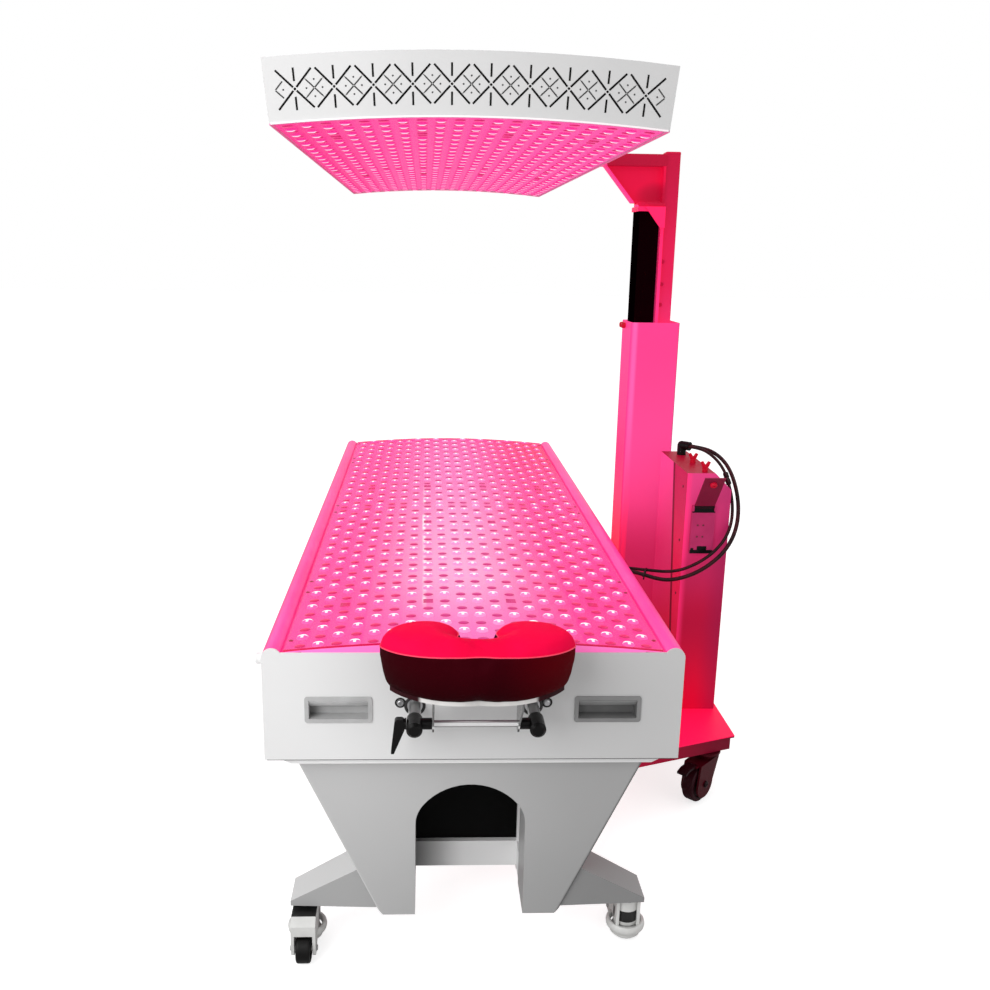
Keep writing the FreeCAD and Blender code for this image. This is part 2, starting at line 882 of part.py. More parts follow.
def wheel(radius, width, axle_radius):
    """Moulded wheel along X: a tread with round edges, a recessed disc and a hub on the axle."""
    bore = axle_radius + s.running_gap
    hub = axle_radius * 2
    rim = radius * 0.78
    edge = width / 6
    half = width / 2
    dish = width / 5
    profile = [
        (bore, -half),
        (hub, -half),
        (hub, dish - half),
        (rim, dish - half),
        (rim, -half),
        (radius - edge, -half, edge),
        (radius, edge - half),
        (radius, half - edge, edge),
        (radius - edge, half),
        (rim, half),
        (rim, half - dish),
        (hub, half - dish),
        (hub, half),
        (bore, half),
    ]
    return profile


def bed_casters():
    """Levelling casters: a hooded frame with a wheel behind the pivot, and a screw-down pad on the pivot."""
    top = s.bed_caster_height - s.swivel_gap
    race_low = top - s.race_height
    reach = s.bed_trail
    axle_z = s.bed_wheel_radius
    pad_top = s.pad_lift + s.pad_height
    dial_top = pad_top + s.dial_height
    hub_low = dial_top + 4
    inside = s.bed_wheel_width / 2 + s.cheek_gap
    outside = inside + s.cheek_gauge
    ear = s.bed_axle_radius * 2.4
    front = reach + ear
    shape = [
        (s.hub_radius, hub_low),
        (s.hub_radius, race_low),
        (-front + s.hood_slope, race_low),
        (-front, race_low - s.hood_slope),
        (-front, axle_z - ear / 2),
        (-reach - ear / 2, axle_z - ear),
        (ear / 2 - reach, axle_z - ear),
        (-s.hub_radius, hub_low),
    ]
    cheek = prism("caster_cheek", "YZ", shape, (inside, outside))
    hood = s.hood_gauge
    eave = 2 * axle_z + hood
    hood_shape = [
        (hood - s.hub_radius, race_low),
        (-front + s.hood_slope, race_low),
        (-front, race_low - s.hood_slope),
        (-front, eave),
        (hood - front, eave),
        (hood - front, race_low - s.hood_slope - hood / 2),
        (-front + s.hood_slope + hood / 2, race_low - hood),
        (hood - s.hub_radius, race_low - hood),
    ]
    roof = prism("caster_hood", "YZ", hood_shape, (-outside, outside))
    hub = rod("caster_hub", s.hub_radius, "Z", hub_low, race_low - hub_low, (0, 0))
    race = rod("caster_race", s.race_radius, "Z", race_low, s.race_height, (0, 0))
    axle = rod("caster_axle", s.bed_axle_radius, "X", -outside, 2 * outside, (-reach, axle_z))
    bore_top = s.stud_top + s.pad_lift / 2
    bore = rod("caster_bore", s.stud_radius + s.running_gap, "Z", hub_low, bore_top - hub_low, (0, 0))
    blank = fuse("caster_blank", cheek, mirrored("caster_cheek_left", cheek, "X"), roof, hub, race, axle)
    frame = cut("caster_frame", blank, bore)
    profile = wheel(s.bed_wheel_radius, s.bed_wheel_width, s.bed_axle_radius)
    tread = turned("bed_wheel", profile, "X", (0, -reach, axle_z))
    bevel = s.pad_height / 4
    pad = turned(
        "levelling_pad",
        [
            (0, s.pad_lift),
            (s.pad_radius - bevel, s.pad_lift),
            (s.pad_radius, s.pad_lift + bevel),
            (s.pad_radius, pad_top - bevel),
            (s.pad_radius - bevel, pad_top),
            (s.dial_radius - bevel, pad_top),
            (s.dial_radius, pad_top + bevel),
            (s.dial_radius, dial_top - bevel),
            (s.dial_radius - bevel, dial_top),
            (s.stud_radius, dial_top),
            (s.stud_radius, s.stud_top),
            (0, s.stud_top),
        ],
        "Z",
        (0, 0, 0),
    )
    place_y = half_length - s.bed_caster_setback
    places = {
        "head_left": (-s.bed_caster_x, -place_y, s.heading_head_left),
        "head_right": (s.bed_caster_x, -place_y, s.heading_head_right),
        "foot_left": (-s.bed_caster_x, place_y, s.heading_foot_left),
        "foot_right": (s.bed_caster_x, place_y, s.heading_foot_right),
    }
    for corner, (x, y, heading) in places.items():
        node(f"caster_frame_{corner}", frame, at=(x, y), heading=heading)
        node(f"caster_wheel_{corner}", tread, at=(x, y), heading=heading)
        node(f"caster_pad_{corner}", pad, at=(x, y), heading=heading)


def post_sockets():
    """Tubes behind the head panel that the cradle's posts slide in, each on a plate held by a round bolt."""
    inner = -half_length + s.panel_gauge
    radius = s.post_radius + s.socket_wall
    tube = rod("socket_tube", radius, "Y", -half_length, s.socket_length, (post_x, post_z))
    half_x = s.bracket_width / 2
    half_z = s.bracket_height / 2
    plate = block(
        "socket_plate",
        (post_x - half_x, post_x + half_x),
        (inner, inner + s.bracket_gauge),
        (post_z - half_z, post_z + half_z),
    )
    bore = rod("socket_bore", s.post_radius + s.running_gap, "Y", -half_length, s.socket_length, (post_x, post_z))
    socket = cut("post_socket", fuse("socket_blank", tube, plate), bore)
    head = s.bolt_radius / 2
    profile = [
        (0, 0),
        (s.bolt_radius, 0),
        (s.bolt_radius, head / 2, head),
        (s.bolt_radius - head, head * 3 / 2),
        (0, head * 3 / 2),
    ]
    bolt = turned("socket_bolt", profile, "-Y", (s.bolt_spacing / 2, -half_length, post_z + s.bolt_radius))
    pieces = [socket, bolt]
    pieces += [mirrored(f"{piece.Name}_left", piece, "X") for piece in (socket, bolt)]
    node("post_sockets", *pieces)


def cradle_slide():
    """Posts that slide in the sockets, joined by a chrome rod held in black end caps."""
    front = -half_length - s.post_reach
    inner = s.post_insert - half_length
    bevel = s.post_radius / 6
    profile = [
        (0, 0),
        (s.post_radius, 0),
        (s.post_radius, inner - front - bevel),
        (s.post_radius - bevel, inner - front),
        (0, inner - front),
    ]
    post = turned("cradle_post", profile, "Y", (post_x, front, post_z))
    rod_end = post_x - s.post_radius - s.cap_wall
    bar = rod("cradle_rod", s.rod_radius, "X", -rod_end, 2 * rod_end, (rod_y, post_z))
    node("cradle_posts", post, mirrored("cradle_post_left", post, "X"), bar)

    cap_radius = s.post_radius + s.cap_wall
    nose = cap_radius / 3
    cap_profile = [
        (0, -s.cap_nose),
        (cap_radius - nose, -s.cap_nose),
        (cap_radius, nose - s.cap_nose),
        (cap_radius, s.cap_length - s.cap_nose),
        (s.post_radius, s.cap_length - s.cap_nose),
        (s.post_radius, 0),
        (0, 0),
    ]
    cap = turned("post_cap_shell", cap_profile, "Y", (post_x, front, post_z))
    collar_in = rod_end - s.collar_length
    collar = rod("rod_collar", s.collar_radius, "X", collar_in, post_x - collar_in, (rod_y, post_z))
    drill = rod("collar_drill", s.rod_radius, "X", collar_in, rod_end - collar_in, (rod_y, post_z))
    well = rod("collar_post_well", s.post_radius, "Y", front, s.cap_length, (post_x, post_z))
    cap_right = fuse("post_cap", cap, cut("collar_piece", collar, drill, well))
    node("post_caps", cap_right, mirrored("post_cap_left", cap_right, "X"))


CUSHION_OUTLINE = (
    # share of the half width, share of the depth, direction the side faces
    (0.00, -1.00, -90),
    (0.62, -0.90, -66),
    (1.00, -0.48, 0),
    (0.86, -0.15, 45),
    (0.52, 0.00, 90),
    (0.29, -0.10, 145),
    (0.19, -0.32, 180),
    (0.135, -0.49, 135),
    (0.00, -0.56, 90),
)


def crescent(inset, z):
    """Horseshoe outline of the face cushion, open towards the bed and drawn in by an inset."""
    half = s.cushion_width.value / 2
    depth = s.cushion_depth.value
    back = -(half_length + s.cushion_gap).value
    right = []
    for across, along, facing in CUSHION_OUTLINE:
        turn = math.radians(facing)
        x = across * half - inset * math.cos(turn)
        right.append(Vector(x, back + along * depth - inset * math.sin(turn), z))
    left = [Vector(-point.x, point.y, z) for point in reversed(right[1:-1])]
    ring = right + left
    arcs = []
    for start in range(0, len(ring), 2):
        arcs.append(Part.Arc(ring[start], ring[start + 1], ring[(start + 2) % len(ring)]).toShape())
    return Part.Wire(arcs)


def cradle_tilt():
    """Crescent cushion on a plate, carried by two links that turn on the chrome rod."""
    plate_top = (s.platform_low + s.platform_gauge).value
    plate_face = Part.Face(crescent(s.platform_inset.value, s.platform_low.value))
    plate = doc.addObject("Part::Feature", "platform_plate")
    plate.Shape = plate_face.extrude(Vector(0, 0, s.platform_gauge.value))
    node("cradle_platform", plate)

    low = plate_top + s.fit_gap.value
    high = s.cushion_height.value
    layers = ((0.0, 20), (0.12, 9), (0.38, 2), (0.76, 0), (0.90, 6), (1.0, 22))
    pad = doc.addObject("Part::Feature", "cushion_pad")
    pad.Shape = Part.makeLoft([crescent(inset, low + share * high) for share, inset in layers], True)
    node("cradle_cushion", pad)

    rod_end = post_x - s.post_radius - s.cap_wall
    outside = rod_end - s.collar_length - s.fit_gap
    inside = outside - s.link_gauge
    base = s.link_base
    foot_top = s.platform_low
    foot_low = foot_top - s.link_gauge
    front = rod_y - s.link_length
    shape = [
        (rod_y - base, post_z - base / 2),
        (rod_y - base / 2, post_z - base),
        (rod_y + base / 2, post_z - base),
        (rod_y + base, post_z - base / 2),
        (rod_y + base, foot_top),
        (front, foot_top),
        (front, foot_low - base),
        (rod_y - base * 2, post_z + base),
    ]
    side = prism("link_side", "YZ", shape, (inside, outside))
    foot = block("link_foot_plate", (inside - s.link_foot, inside), (front, rod_y + base), (foot_low, foot_top))
    eye = rod("link_eye", s.rod_radius + s.running_gap, "X", inside, s.link_gauge, (rod_y, post_z))
    link = cut("cradle_link", fuse("link_blank", side, foot), eye)
    node("cradle_links", link, mirrored("cradle_link_left", link, "X"))


def cam_lever():
    """Black lever on the left end cap that locks the cradle's tilt."""
    face = -(post_x + s.post_radius + s.cap_wall + s.fit_gap)
    hub = rod("lever_hub", s.lever_hub_radius, "X", face - s.lever_hub_length, s.lever_hub_length, (rod_y, post_z))
    right = face - s.lever_hub_length
    left = right - s.lever_width
    high = post_z + s.lever_rise
    low = post_z - s.lever_length
    tip = left - s.lever_crank
    corner = s.lever_corner
    shape = [
        (tip, low),
        (tip + s.lever_tip_width, low),
        (right, post_z - s.lever_hub_radius),
        (right, high - corner, corner),
        (right - corner, high),
        (left + corner, high, corner),
        (left, high - corner),
        (tip, low + s.lever_tip_width),
    ]
    blade = prism("lever_blade", "XZ", shape, (rod_y - s.lever_depth / 2, rod_y + s.lever_depth / 2))
    node("cam_lever", fuse("lever", hub, blade))


def base_edge(x, inset):
    """Distance of the base's slanted edge from the stand's middle line, at a place along X."""
    spread = (s.base_right - x) * tangent(s.base_splay)
    return s.base_half + spread - inset / cosine(s.base_splay)


def base_outline(inset):
    """Plate under the column with two legs that splay out under the bed, drawn in by an inset."""
    right = s.base_right - inset
    end = s.leg_end + inset
    hub = s.hub_edge + inset
    inner_shift = s.leg_width - 2 * inset / cosine(s.base_splay)
    near = [
        (right, s.stand_y - base_edge(right, inset)),
        (end, s.stand_y - base_edge(end, inset)),
        (end, s.stand_y - base_edge(end, inset) + inner_shift),
        (hub, s.stand_y - base_edge(hub, inset) + inner_shift),
    ]
    far = [(x, 2 * s.stand_y - y) for x, y in near]
    return near[::-1] + far


def stand_caster_places():
    outer_x = s.base_right - s.stand_caster_inset
    inner_x = s.leg_end + s.leg_caster_inset
    outer_y = base_edge(outer_x, Dim.of(0)) - s.stand_caster_edge
    inner_y = base_edge(inner_x, Dim.of(0)) - s.leg_width / 2
    return {
        "head_outer": (outer_x, s.stand_y - outer_y, s.heading_head_outer),
        "foot_outer": (outer_x, s.stand_y + outer_y, s.heading_foot_outer),
        "head_inner": (inner_x, s.stand_y - inner_y, s.heading_head_inner),
        "foot_inner": (inner_x, s.stand_y + inner_y, s.heading_foot_inner),
    }


def stand_base():
    """Folded base: a plate with a lip, a skirt below it, and blocks inside over the casters."""
    plate_low = s.base_top - s.base_plate
    plate = prism("base_plate", "XY", base_outline(Dim.of(0)), (plate_low, s.base_top))
    skirt = prism("base_skirt", "XY", base_outline(s.base_lip), (s.stand_caster_height, plate_low))
    well_outline = base_outline(s.base_lip + s.base_gauge)
    well = prism("base_well", "XY", well_outline, (s.stand_caster_height, plate_low))
    shell = cut("base_shell", skirt, well)
    half = s.caster_pad / 2
    pads = []
    for corner, (x, y, heading) in stand_caster_places().items():
        pad_z = (s.stand_caster_height, plate_low)
        pads.append(block(f"base_pad_{corner}", (x - half, x + half), (y - half, y + half), pad_z))
    inside_pads = common("base_pads", fuse("base_pad_set", *pads), skirt)
    node("stand_base", fuse("base", plate, shell, inside_pads))


def stand_casters():
    """Swivel casters of the stand; the outer two have a brake pedal."""
    top = s.stand_caster_height - s.swivel_gap
    plate_low = top - s.swivel_plate_gauge
    bridge_top = top - s.fork_drop + s.fork_bridge
    bridge_low = bridge_top - s.fork_bridge
    reach = s.stand_trail
    axle_z = s.stand_wheel_radius
    inside = s.stand_wheel_width / 2 + s.fork_gap
    outside = inside + s.fork_gauge
    neck = s.kingpin_radius + 6
    shape = [
        (neck, bridge_low),
        (neck, bridge_top),
        (-reach - neck, bridge_top),
        (-reach - s.fork_round, axle_z, s.fork_round),
        (-reach, axle_z - s.fork_round, s.fork_round),
        (s.fork_round - reach, axle_z),
    ]
    cheek = prism("fork_cheek", "YZ", shape, (inside, outside))
    bridge = block("fork_bridge", (-outside, outside), (-reach - neck, neck), (bridge_low, bridge_top))
    kingpin = rod("fork_kingpin", s.kingpin_radius, "Z", bridge_low, plate_low - bridge_low, (0, 0))
    plate = rod("fork_plate", s.swivel_plate_radius, "Z", plate_low, s.swivel_plate_gauge, (0, 0))
    axle = rod("fork_axle", s.stand_axle_radius, "X", -outside, 2 * outside, (-reach, axle_z))
    fork = fuse("fork", cheek, mirrored("fork_cheek_left", cheek, "X"), bridge, kingpin, plate, axle)

    pin_y = -reach - neck - s.pedal_gauge
    pin_z = bridge_low + s.pedal_gauge / 2
    half = s.pedal_width / 2
    ear_in = half + s.fit_gap
    ear_out = ear_in + s.pedal_ear
    boss = s.pedal_gauge
    pedal_ear = block("pedal_ear", (ear_in, ear_out), (pin_y - boss, -reach - neck), (bridge_low, bridge_top))
    pin = rod("pedal_pin", s.pedal_pin_radius / 2, "X", -ear_in, 2 * ear_in, (pin_y, pin_z))
    braked = fuse("braked_fork", fork, pedal_ear, mirrored("pedal_ear_left", pedal_ear, "X"), pin)

    tip = pin_y - s.pedal_length
    barrel = rod("pedal_barrel", s.pedal_gauge / 2, "X", -half, s.pedal_width, (pin_y, pin_z))
    tread_low = bridge_low
    pedal_shape = [
        (tip, tread_low - s.pedal_gauge),
        (tip + s.pedal_length / 3, tread_low),
        (pin_y, tread_low),
        (pin_y, tread_low + s.pedal_gauge),
        (tip + s.pedal_length / 3, tread_low + s.pedal_gauge),
        (tip, tread_low),
    ]
    tread = prism("pedal_tread", "YZ", pedal_shape, (-half, half))
    drill = rod("pedal_drill", s.pedal_pin_radius / 2 + s.running_gap, "X", -half, s.pedal_width, (pin_y, pin_z))
    pedal = cut("pedal", fuse("pedal_blank", barrel, tread), drill)

    profile = wheel(s.stand_wheel_radius, s.stand_wheel_width, s.stand_axle_radius)
    roller = turned("stand_wheel", profile, "X", (0, -reach, axle_z))
    for corner, (x, y, heading) in stand_caster_places().items():
        outer = corner.endswith("outer")
        node(f"stand_fork_{corner}", braked if outer else fork, at=(x, y), heading=heading)
        node(f"stand_wheel_{corner}", roller, at=(x, y), heading=heading)
        if outer:
            node(f"brake_pedal_{corner}", pedal, at=(x, y), heading=heading)


def column():
    """Sheet housing over the lifting column, and the column's fixed stage inside it."""
    x = (s.column_left, s.column_left + s.column_width)
    y = (s.column_front, s.column_front + s.column_depth)
    z = (s.base_top, s.column_top)
    node("column_housing", rounded_tube("housing", x, y, z, s.column_corner, s.column_gauge))

    room = s.stage_gap + s.stage_gauge
    stage_y = (lift_y - s.stage_depth / 2, lift_y + s.stage_depth / 2)
    outer_x = (stage_left - room, stage_left + s.stage_width + room)
    outer_y = (stage_y[0] - room, stage_y[1] + room)
    outer_z = (s.base_top, s.outer_stage_top)
    fixed = rounded_tube("fixed_stage", outer_x, outer_y, outer_z, s.stage_corner, s.stage_gauge)
    node("lift_outer_stage", fixed)

    stage_x = (stage_left, stage_left + s.stage_width)
    stage_z = (stage_top - s.stage_length, stage_top)
    small = s.stage_corner / 5
    node("lift_stage", rounded_tube("moving_stage", stage_x, stage_y, stage_z, small, s.stage_gauge))


def lift_bracket():
    """Cap on the moving stage with a flat strip beside it and a small gusset in front."""
    room = s.stage_gap + s.stage_gauge
    y = (lift_y - s.stage_depth / 2, lift_y + s.stage_depth / 2)
    front = y[0] - room
    strip_x = (strip_left, lift_post_left)
    cap = block("bracket_cap", (stage_left - room, lift_post_left), (front, y[1]), (stage_top, bracket_top))
    strip = block("bracket_strip", strip_x, y, (bracket_top - s.strip_length, bracket_top))
    shape = [
        (lift_post_left, bracket_top - s.bracket_gusset),
        (lift_post_left, bracket_top),
        (lift_post_left - s.bracket_gusset, bracket_top),
        (strip_left - s.bracket_strip / 2, bracket_top - s.bracket_gusset),
    ]
    gusset = prism("bracket_gusset", "XZ", shape, (front - s.gusset_gauge, front))
    tab_z = (bracket_top - s.bracket_gusset, bracket_top)
    tab = block("bracket_tab", strip_x, (front, y[0]), tab_z)
    node("lift_bracket", fuse("bracket", cap, strip, gusset, tab))


def lift_post():
    """Square post beside the lifting stage, with rounded edges and a closed top."""
    half = s.lift_post_width / 2
    x = (lift_post_left, lift_post_left + s.lift_post_width)
    y = (lift_y - half, lift_y + half)
    z = (lift_post_top - s.lift_post_length, lift_post_top)
    corner = s.lift_post_gauge
    outside = prism("post_outside", "XY", rounded(x, y, corner), z)
    hole_x = (x[0] + s.lift_post_gauge, x[1] - s.lift_post_gauge)
    hole_y = (y[0] + s.lift_post_gauge, y[1] - s.lift_post_gauge)
    hole = block("post_hole", hole_x, hole_y, (z[0], z[1] - s.lift_post_gauge))
    node("lift_post", cut("square_post", outside, hole))


def canopy_envelope():
    shape = sector(canopy_half, s.deck_radius, s.deck_radius + s.canopy_height)
    return prism("canopy_envelope", "XZ", shape, (canopy_front, canopy_back), (s.canopy_x, 0, canopy_centre))


def canopy_arm():
    """Box beam from the post to a pad on the canopy's side, over a triangular web with a flange on its slope."""
    high = lift_post_top - s.beam_drop
    low = high - s.beam_height
    half = s.beam_depth / 2
    side = s.canopy_x + s.deck_radius * sine(canopy_half)
    beam_y = (lift_y - half, lift_y + half)
    beam = block("arm_beam", (side, lift_post_left), beam_y, (low, high))
    web_low = low - s.web_height
    foot_left = lift_post_left - s.web_foot
    tip = side + s.web_tip
    web_shape = [(tip, low), (foot_left, web_low), (lift_post_left, web_low), (lift_post_left, low)]
    web = prism("arm_web", "XZ", web_shape, (lift_y - s.web_gauge / 2, lift_y + s.web_gauge / 2))
    flange_shape = [
        (tip, low),
        (foot_left, web_low),
        (foot_left + s.web_gauge, web_low),
        (tip + s.web_gauge, low),
    ]
    flange = prism("arm_flange", "XZ", flange_shape, (lift_y - s.web_flange / 2, lift_y + s.web_flange / 2))
    foot_z = (web_low, web_low + s.web_gauge)
    foot_y = (lift_y - s.web_flange / 2, lift_y + s.web_flange / 2)
    foot = block("arm_foot", (foot_left, lift_post_left), foot_y, foot_z)
    end_plate = block("arm_end_plate", (lift_post_left - s.web_gauge, lift_post_left), beam_y, (web_low, high))
    wide = canopy_half + s.arm_pad / s.deck_radius * (180 / math.pi)
    pad_shape = sector(wide, s.deck_radius + s.arm_pad_margin, s.deck_radius + s.canopy_height - s.arm_pad_margin)
    pad_y = (lift_y - s.arm_pad_length / 2, lift_y + s.arm_pad_length / 2)
    ring = prism("arm_pad_ring", "XZ", pad_shape, pad_y, (s.canopy_x, 0, canopy_centre))
    right_side = block("arm_pad_side", (s.canopy_x, lift_post_left), pad_y, (s.canopy_low, lift_post_top * 1.1))
    pad = common("arm_pad", ring, right_side)
    solid = fuse("arm_blank", beam, web, flange, foot, end_plate, pad)
    node("canopy_arm", cut("arm", solid, canopy_envelope()))


def canopy():
    """Arched lamp over the bed: folded shell, slotted ends, light board, clear sheet and fans."""
    inner = s.deck_radius
    outer = inner + s.canopy_height
    centre = (s.canopy_x, 0, canopy_centre)
    thin = canopy_half - s.sheet_gauge / inner * (180 / math.pi)
    span = (canopy_front + s.panel_gauge, canopy_back - s.panel_gauge)
    skin = prism("canopy_skin", "XZ", sector(canopy_half, inner, outer), span, centre)
    room = prism("canopy_room", "XZ", sector(thin, inner, outer - s.sheet_gauge), span, centre)
    node("canopy_shell", cut("shell", skin, room))

    board_low = inner + s.cover_gauge
    board_high = board_low + s.board_gauge
    board = prism("canopy_board", "XZ", sector(thin, board_low, board_high), span, centre)
    node("canopy_led_deck", board)
    clear = prism("canopy_sheet", "XZ", sector(thin, inner, board_low), span, centre)
    node("canopy_clear_cover", clear)

    half = s.fan_size / 2
    low = canopy_centre + board_high
    fans = []
    for side in (-1, 1):
        x = s.canopy_x + side * s.fan_offset
        near = (span[0], span[0] + s.fan_depth)
        far = (span[1] - s.fan_depth, span[1])
        for place, y in (("head", near), ("foot", far)):
            tag = f"{place}_{side + 1}"
            frame = block(f"fan_frame_{tag}", (x - half, x + half), y, (low, low + s.fan_size))
            bore = rod(f"fan_bore_{tag}", s.fan_bore, "Y", y[0], s.fan_depth, (x, low + half))
            fans.append(cut(f"fan_{tag}", frame, bore))
    node("canopy_fans", *fans)


def slot(sketch, x0, y0, x1, y1, width):
    """Straight slot between two points, tied to the sheet."""
    run_x = Dim.of(x1) - x0
    run_y = Dim.of(y1) - y0
    length = root(run_x * run_x + run_y * run_y)
    across_x = run_y / length * width / 2
    across_y = run_x / length * width / 2
    draw(
        sketch,
        [
            (x0 + across_x, y0 - across_y),
            (x1 + across_x, y1 - across_y),
            (x1 - across_x, y1 + across_y),
            (x0 - across_x, y0 + across_y),
        ],
    )


def vent_end(name, y):
    """Arched end plate with a row of cut crosses that follows the arch."""
    body = doc.addObject("PartDesign::Body", name)
    outline = body_sketch(body, f"{name}_outline", "XZ_Plane")
    draw(outline, sector(canopy_half, s.deck_radius, s.deck_radius + s.canopy_height))
    plate = body.newObject("PartDesign::Pad", f"{name}_plate")
    plate.Profile = outline
    bind(plate, "Length", s.panel_gauge)
    middle = s.deck_radius + s.canopy_height / 2
    first = -s.vent_pitch * 4.5

    def vent_row(kind, start, count, lines, width):
        sketch = body_sketch(body, f"{name}_{kind}", "XZ_Plane")
        bind(sketch, "AttachmentOffset.Rotation.Angle", -start)
        for x0, y0, x1, y1 in lines:
            slot(sketch, Dim.of(x0), middle + y0, Dim.of(x1), middle + y1, width)
        pocket = body.newObject("PartDesign::Pocket", f"{name}_{kind}_cut")
        pocket.Profile = sketch
        pocket.Type = "ThroughAll"
        pocket.Midplane = True
        row = body.newObject("PartDesign::PolarPattern", f"{name}_{kind}_row")
        row.Originals = [pocket]
        row.Axis = (outline, ["N_Axis"])
        row.Reversed = True
        bind(row, "Angle", s.vent_pitch * (count - 1))
        row.Occurrences = count
        body.Tip = row

    wide = s.vent_half_width
    tall = s.vent_half_height
    gap = s.vent_centre_gap
    arms = []
    for across in (-1, 1):
        for up in (-1, 1):
            arms.append((gap * across, gap * up, wide * across, tall * up))
    ticks = [(0, s.vent_tick_start * up, 0, s.vent_tick_end * up) for up in (-1, 1)]
    vent_row("crosses", first, 10, arms + ticks, s.vent_slot)
    small = s.vent_small
    step = s.vent_small_slot
    fine = []
    for across in (-1, 1):
        for up in (-1, 1):
            fine.append((step * across, step * up, small * across, small * up))
    vent_row("small_crosses", first + s.vent_pitch / 2, 9, fine, s.vent_small_slot)
    move(body, s.canopy_x, y, canopy_centre)
    return body


def canopy_ends():
    head = vent_end("vent_end_head", canopy_front + s.panel_gauge)
    foot = vent_end("vent_end_foot", canopy_back)
    node("canopy_ends", head, foot)


def power_outline(inset):
    left = s.power_left + inset
    right = s.power_left + s.power_width - inset
    low = s.base_top + inset
    high = power_top - inset
    chamfer = s.power_chamfer - inset
    return [(left, low), (right, low), (right, high - chamfer), (right - chamfer, high), (left, high)]


def power_box():
    """Slim cabinet with a sloping top edge, holding the breaker unit in a window at its front."""
    front = s.power_front
    back = front + s.power_depth
    gauge = s.power_gauge
    outside = prism("cabinet_outside", "XZ", power_outline(Dim.of(0)), (front, back))
    inside = prism("cabinet_inside", "XZ", power_outline(gauge), (front + gauge, back - gauge))
    window_x = (s.window_left, s.window_left + s.window_width)
    window_z = (s.window_low, s.window_low + s.window_height)
    window = block("cabinet_window", window_x, (front, front + gauge), window_z)
    node("power_box", cut("cabinet", outside, inside, window))

    gap = s.fit_gap
    unit_x = (window_x[0] + gap, window_x[1] - gap)
    unit_y = (front - s.breaker_proud, front - s.breaker_proud + s.breaker_depth)
    unit = block("breaker_case", unit_x, unit_y, (window_z[0] + gap, window_z[1] - gap))
    hinge_y = front - s.hinge_reach
    hinge_z = window_z[1] + s.hinge_rise
    lug = s.hinge_lug
    lug_z = (window_z[1] - gap, hinge_z + s.hinge_barrel_radius)
    right_lug = block("hinge_lug_right", (unit_x[1] - lug, unit_x[1]), (hinge_y - lug, front), lug_z)
    left_lug = block("hinge_lug_left", (unit_x[0], unit_x[0] + lug), (hinge_y - lug, front), lug_z)
    tongue_z = (window_z[1] - lug, window_z[1])
    tongues = []
    for side, x in (("right", (unit_x[1] - lug, unit_x[1])), ("left", (unit_x[0], unit_x[0] + lug))):
        tongue_y = (hinge_y - lug, front - s.breaker_proud)
        tongues.append(block(f"hinge_tongue_{side}", x, tongue_y, tongue_z))
    pin_x = unit_x[0] + lug
    pin_length = s.window_width - 2 * gap - 2 * lug
    pin = rod("hinge_pin", s.hinge_pin_radius, "X", pin_x, pin_length, (hinge_y, hinge_z))
    node("breaker_unit", fuse("breaker", unit, right_lug, left_lug, pin, *tongues))

    flap_x = (pin_x + gap, pin_x + pin_length - gap)
    flap_length = pin_length - 2 * gap
    barrel = rod("flap_barrel", s.hinge_barrel_radius, "X", flap_x[0], flap_length, (hinge_y, hinge_z))
    leaf = block("flap_leaf", flap_x, (hinge_y, hinge_y + s.flap_gauge), (hinge_z, hinge_z + s.flap_length))
    leaf.Placement.Rotation = Rotation(Vector(1, 0, 0), s.flap_lean.value)
    drill_radius = s.hinge_pin_radius + s.running_gap
    drill = rod("flap_drill", drill_radius, "X", flap_x[0], flap_length, (hinge_y, hinge_z))
    node("breaker_cover", cut("flap", fuse("flap_blank", barrel, leaf), drill))


def cable_glands():
    """Elbow on the power box that both cords leave, and a tapered gland for each on the bed's side."""
    centre = (s.elbow_x, s.elbow_y)
    level = power_top + s.elbow_rise
    riser = rod("elbow_riser", s.elbow_radius, "Z", power_top, s.elbow_rise, centre)
    bend = doc.addObject("Part::Sphere", "elbow_bend")
    bind(bend, "Radius", s.elbow_radius)
    move(bend, s.elbow_x, s.elbow_y, level)
    outlet = rod("elbow_outlet", s.elbow_radius, "X", s.elbow_x, s.elbow_outlet, (s.elbow_y, level))
    outlet.Placement.Rotation = Rotation(Vector(0, 0, 1), s.elbow_heading.value) * TURNS["X"]
    pieces = [fuse("elbow", riser, bend, outlet)]
    profile = [
        (0, 0),
        (s.gland_radius, 0),
        (s.gland_radius, s.gland_length / 3),
        (s.gland_tip_radius, s.gland_length),
        (0, s.gland_length),
    ]
    for tag, route in (("outer", OUTER_ROUTE), ("inner", INNER_ROUTE)):
        x, y, z = route[-1]
        pieces.append(turned(f"gland_{tag}", profile, "X", (half_width, Dim.of(y), Dim.of(z))))
    node("cable_glands", *pieces)


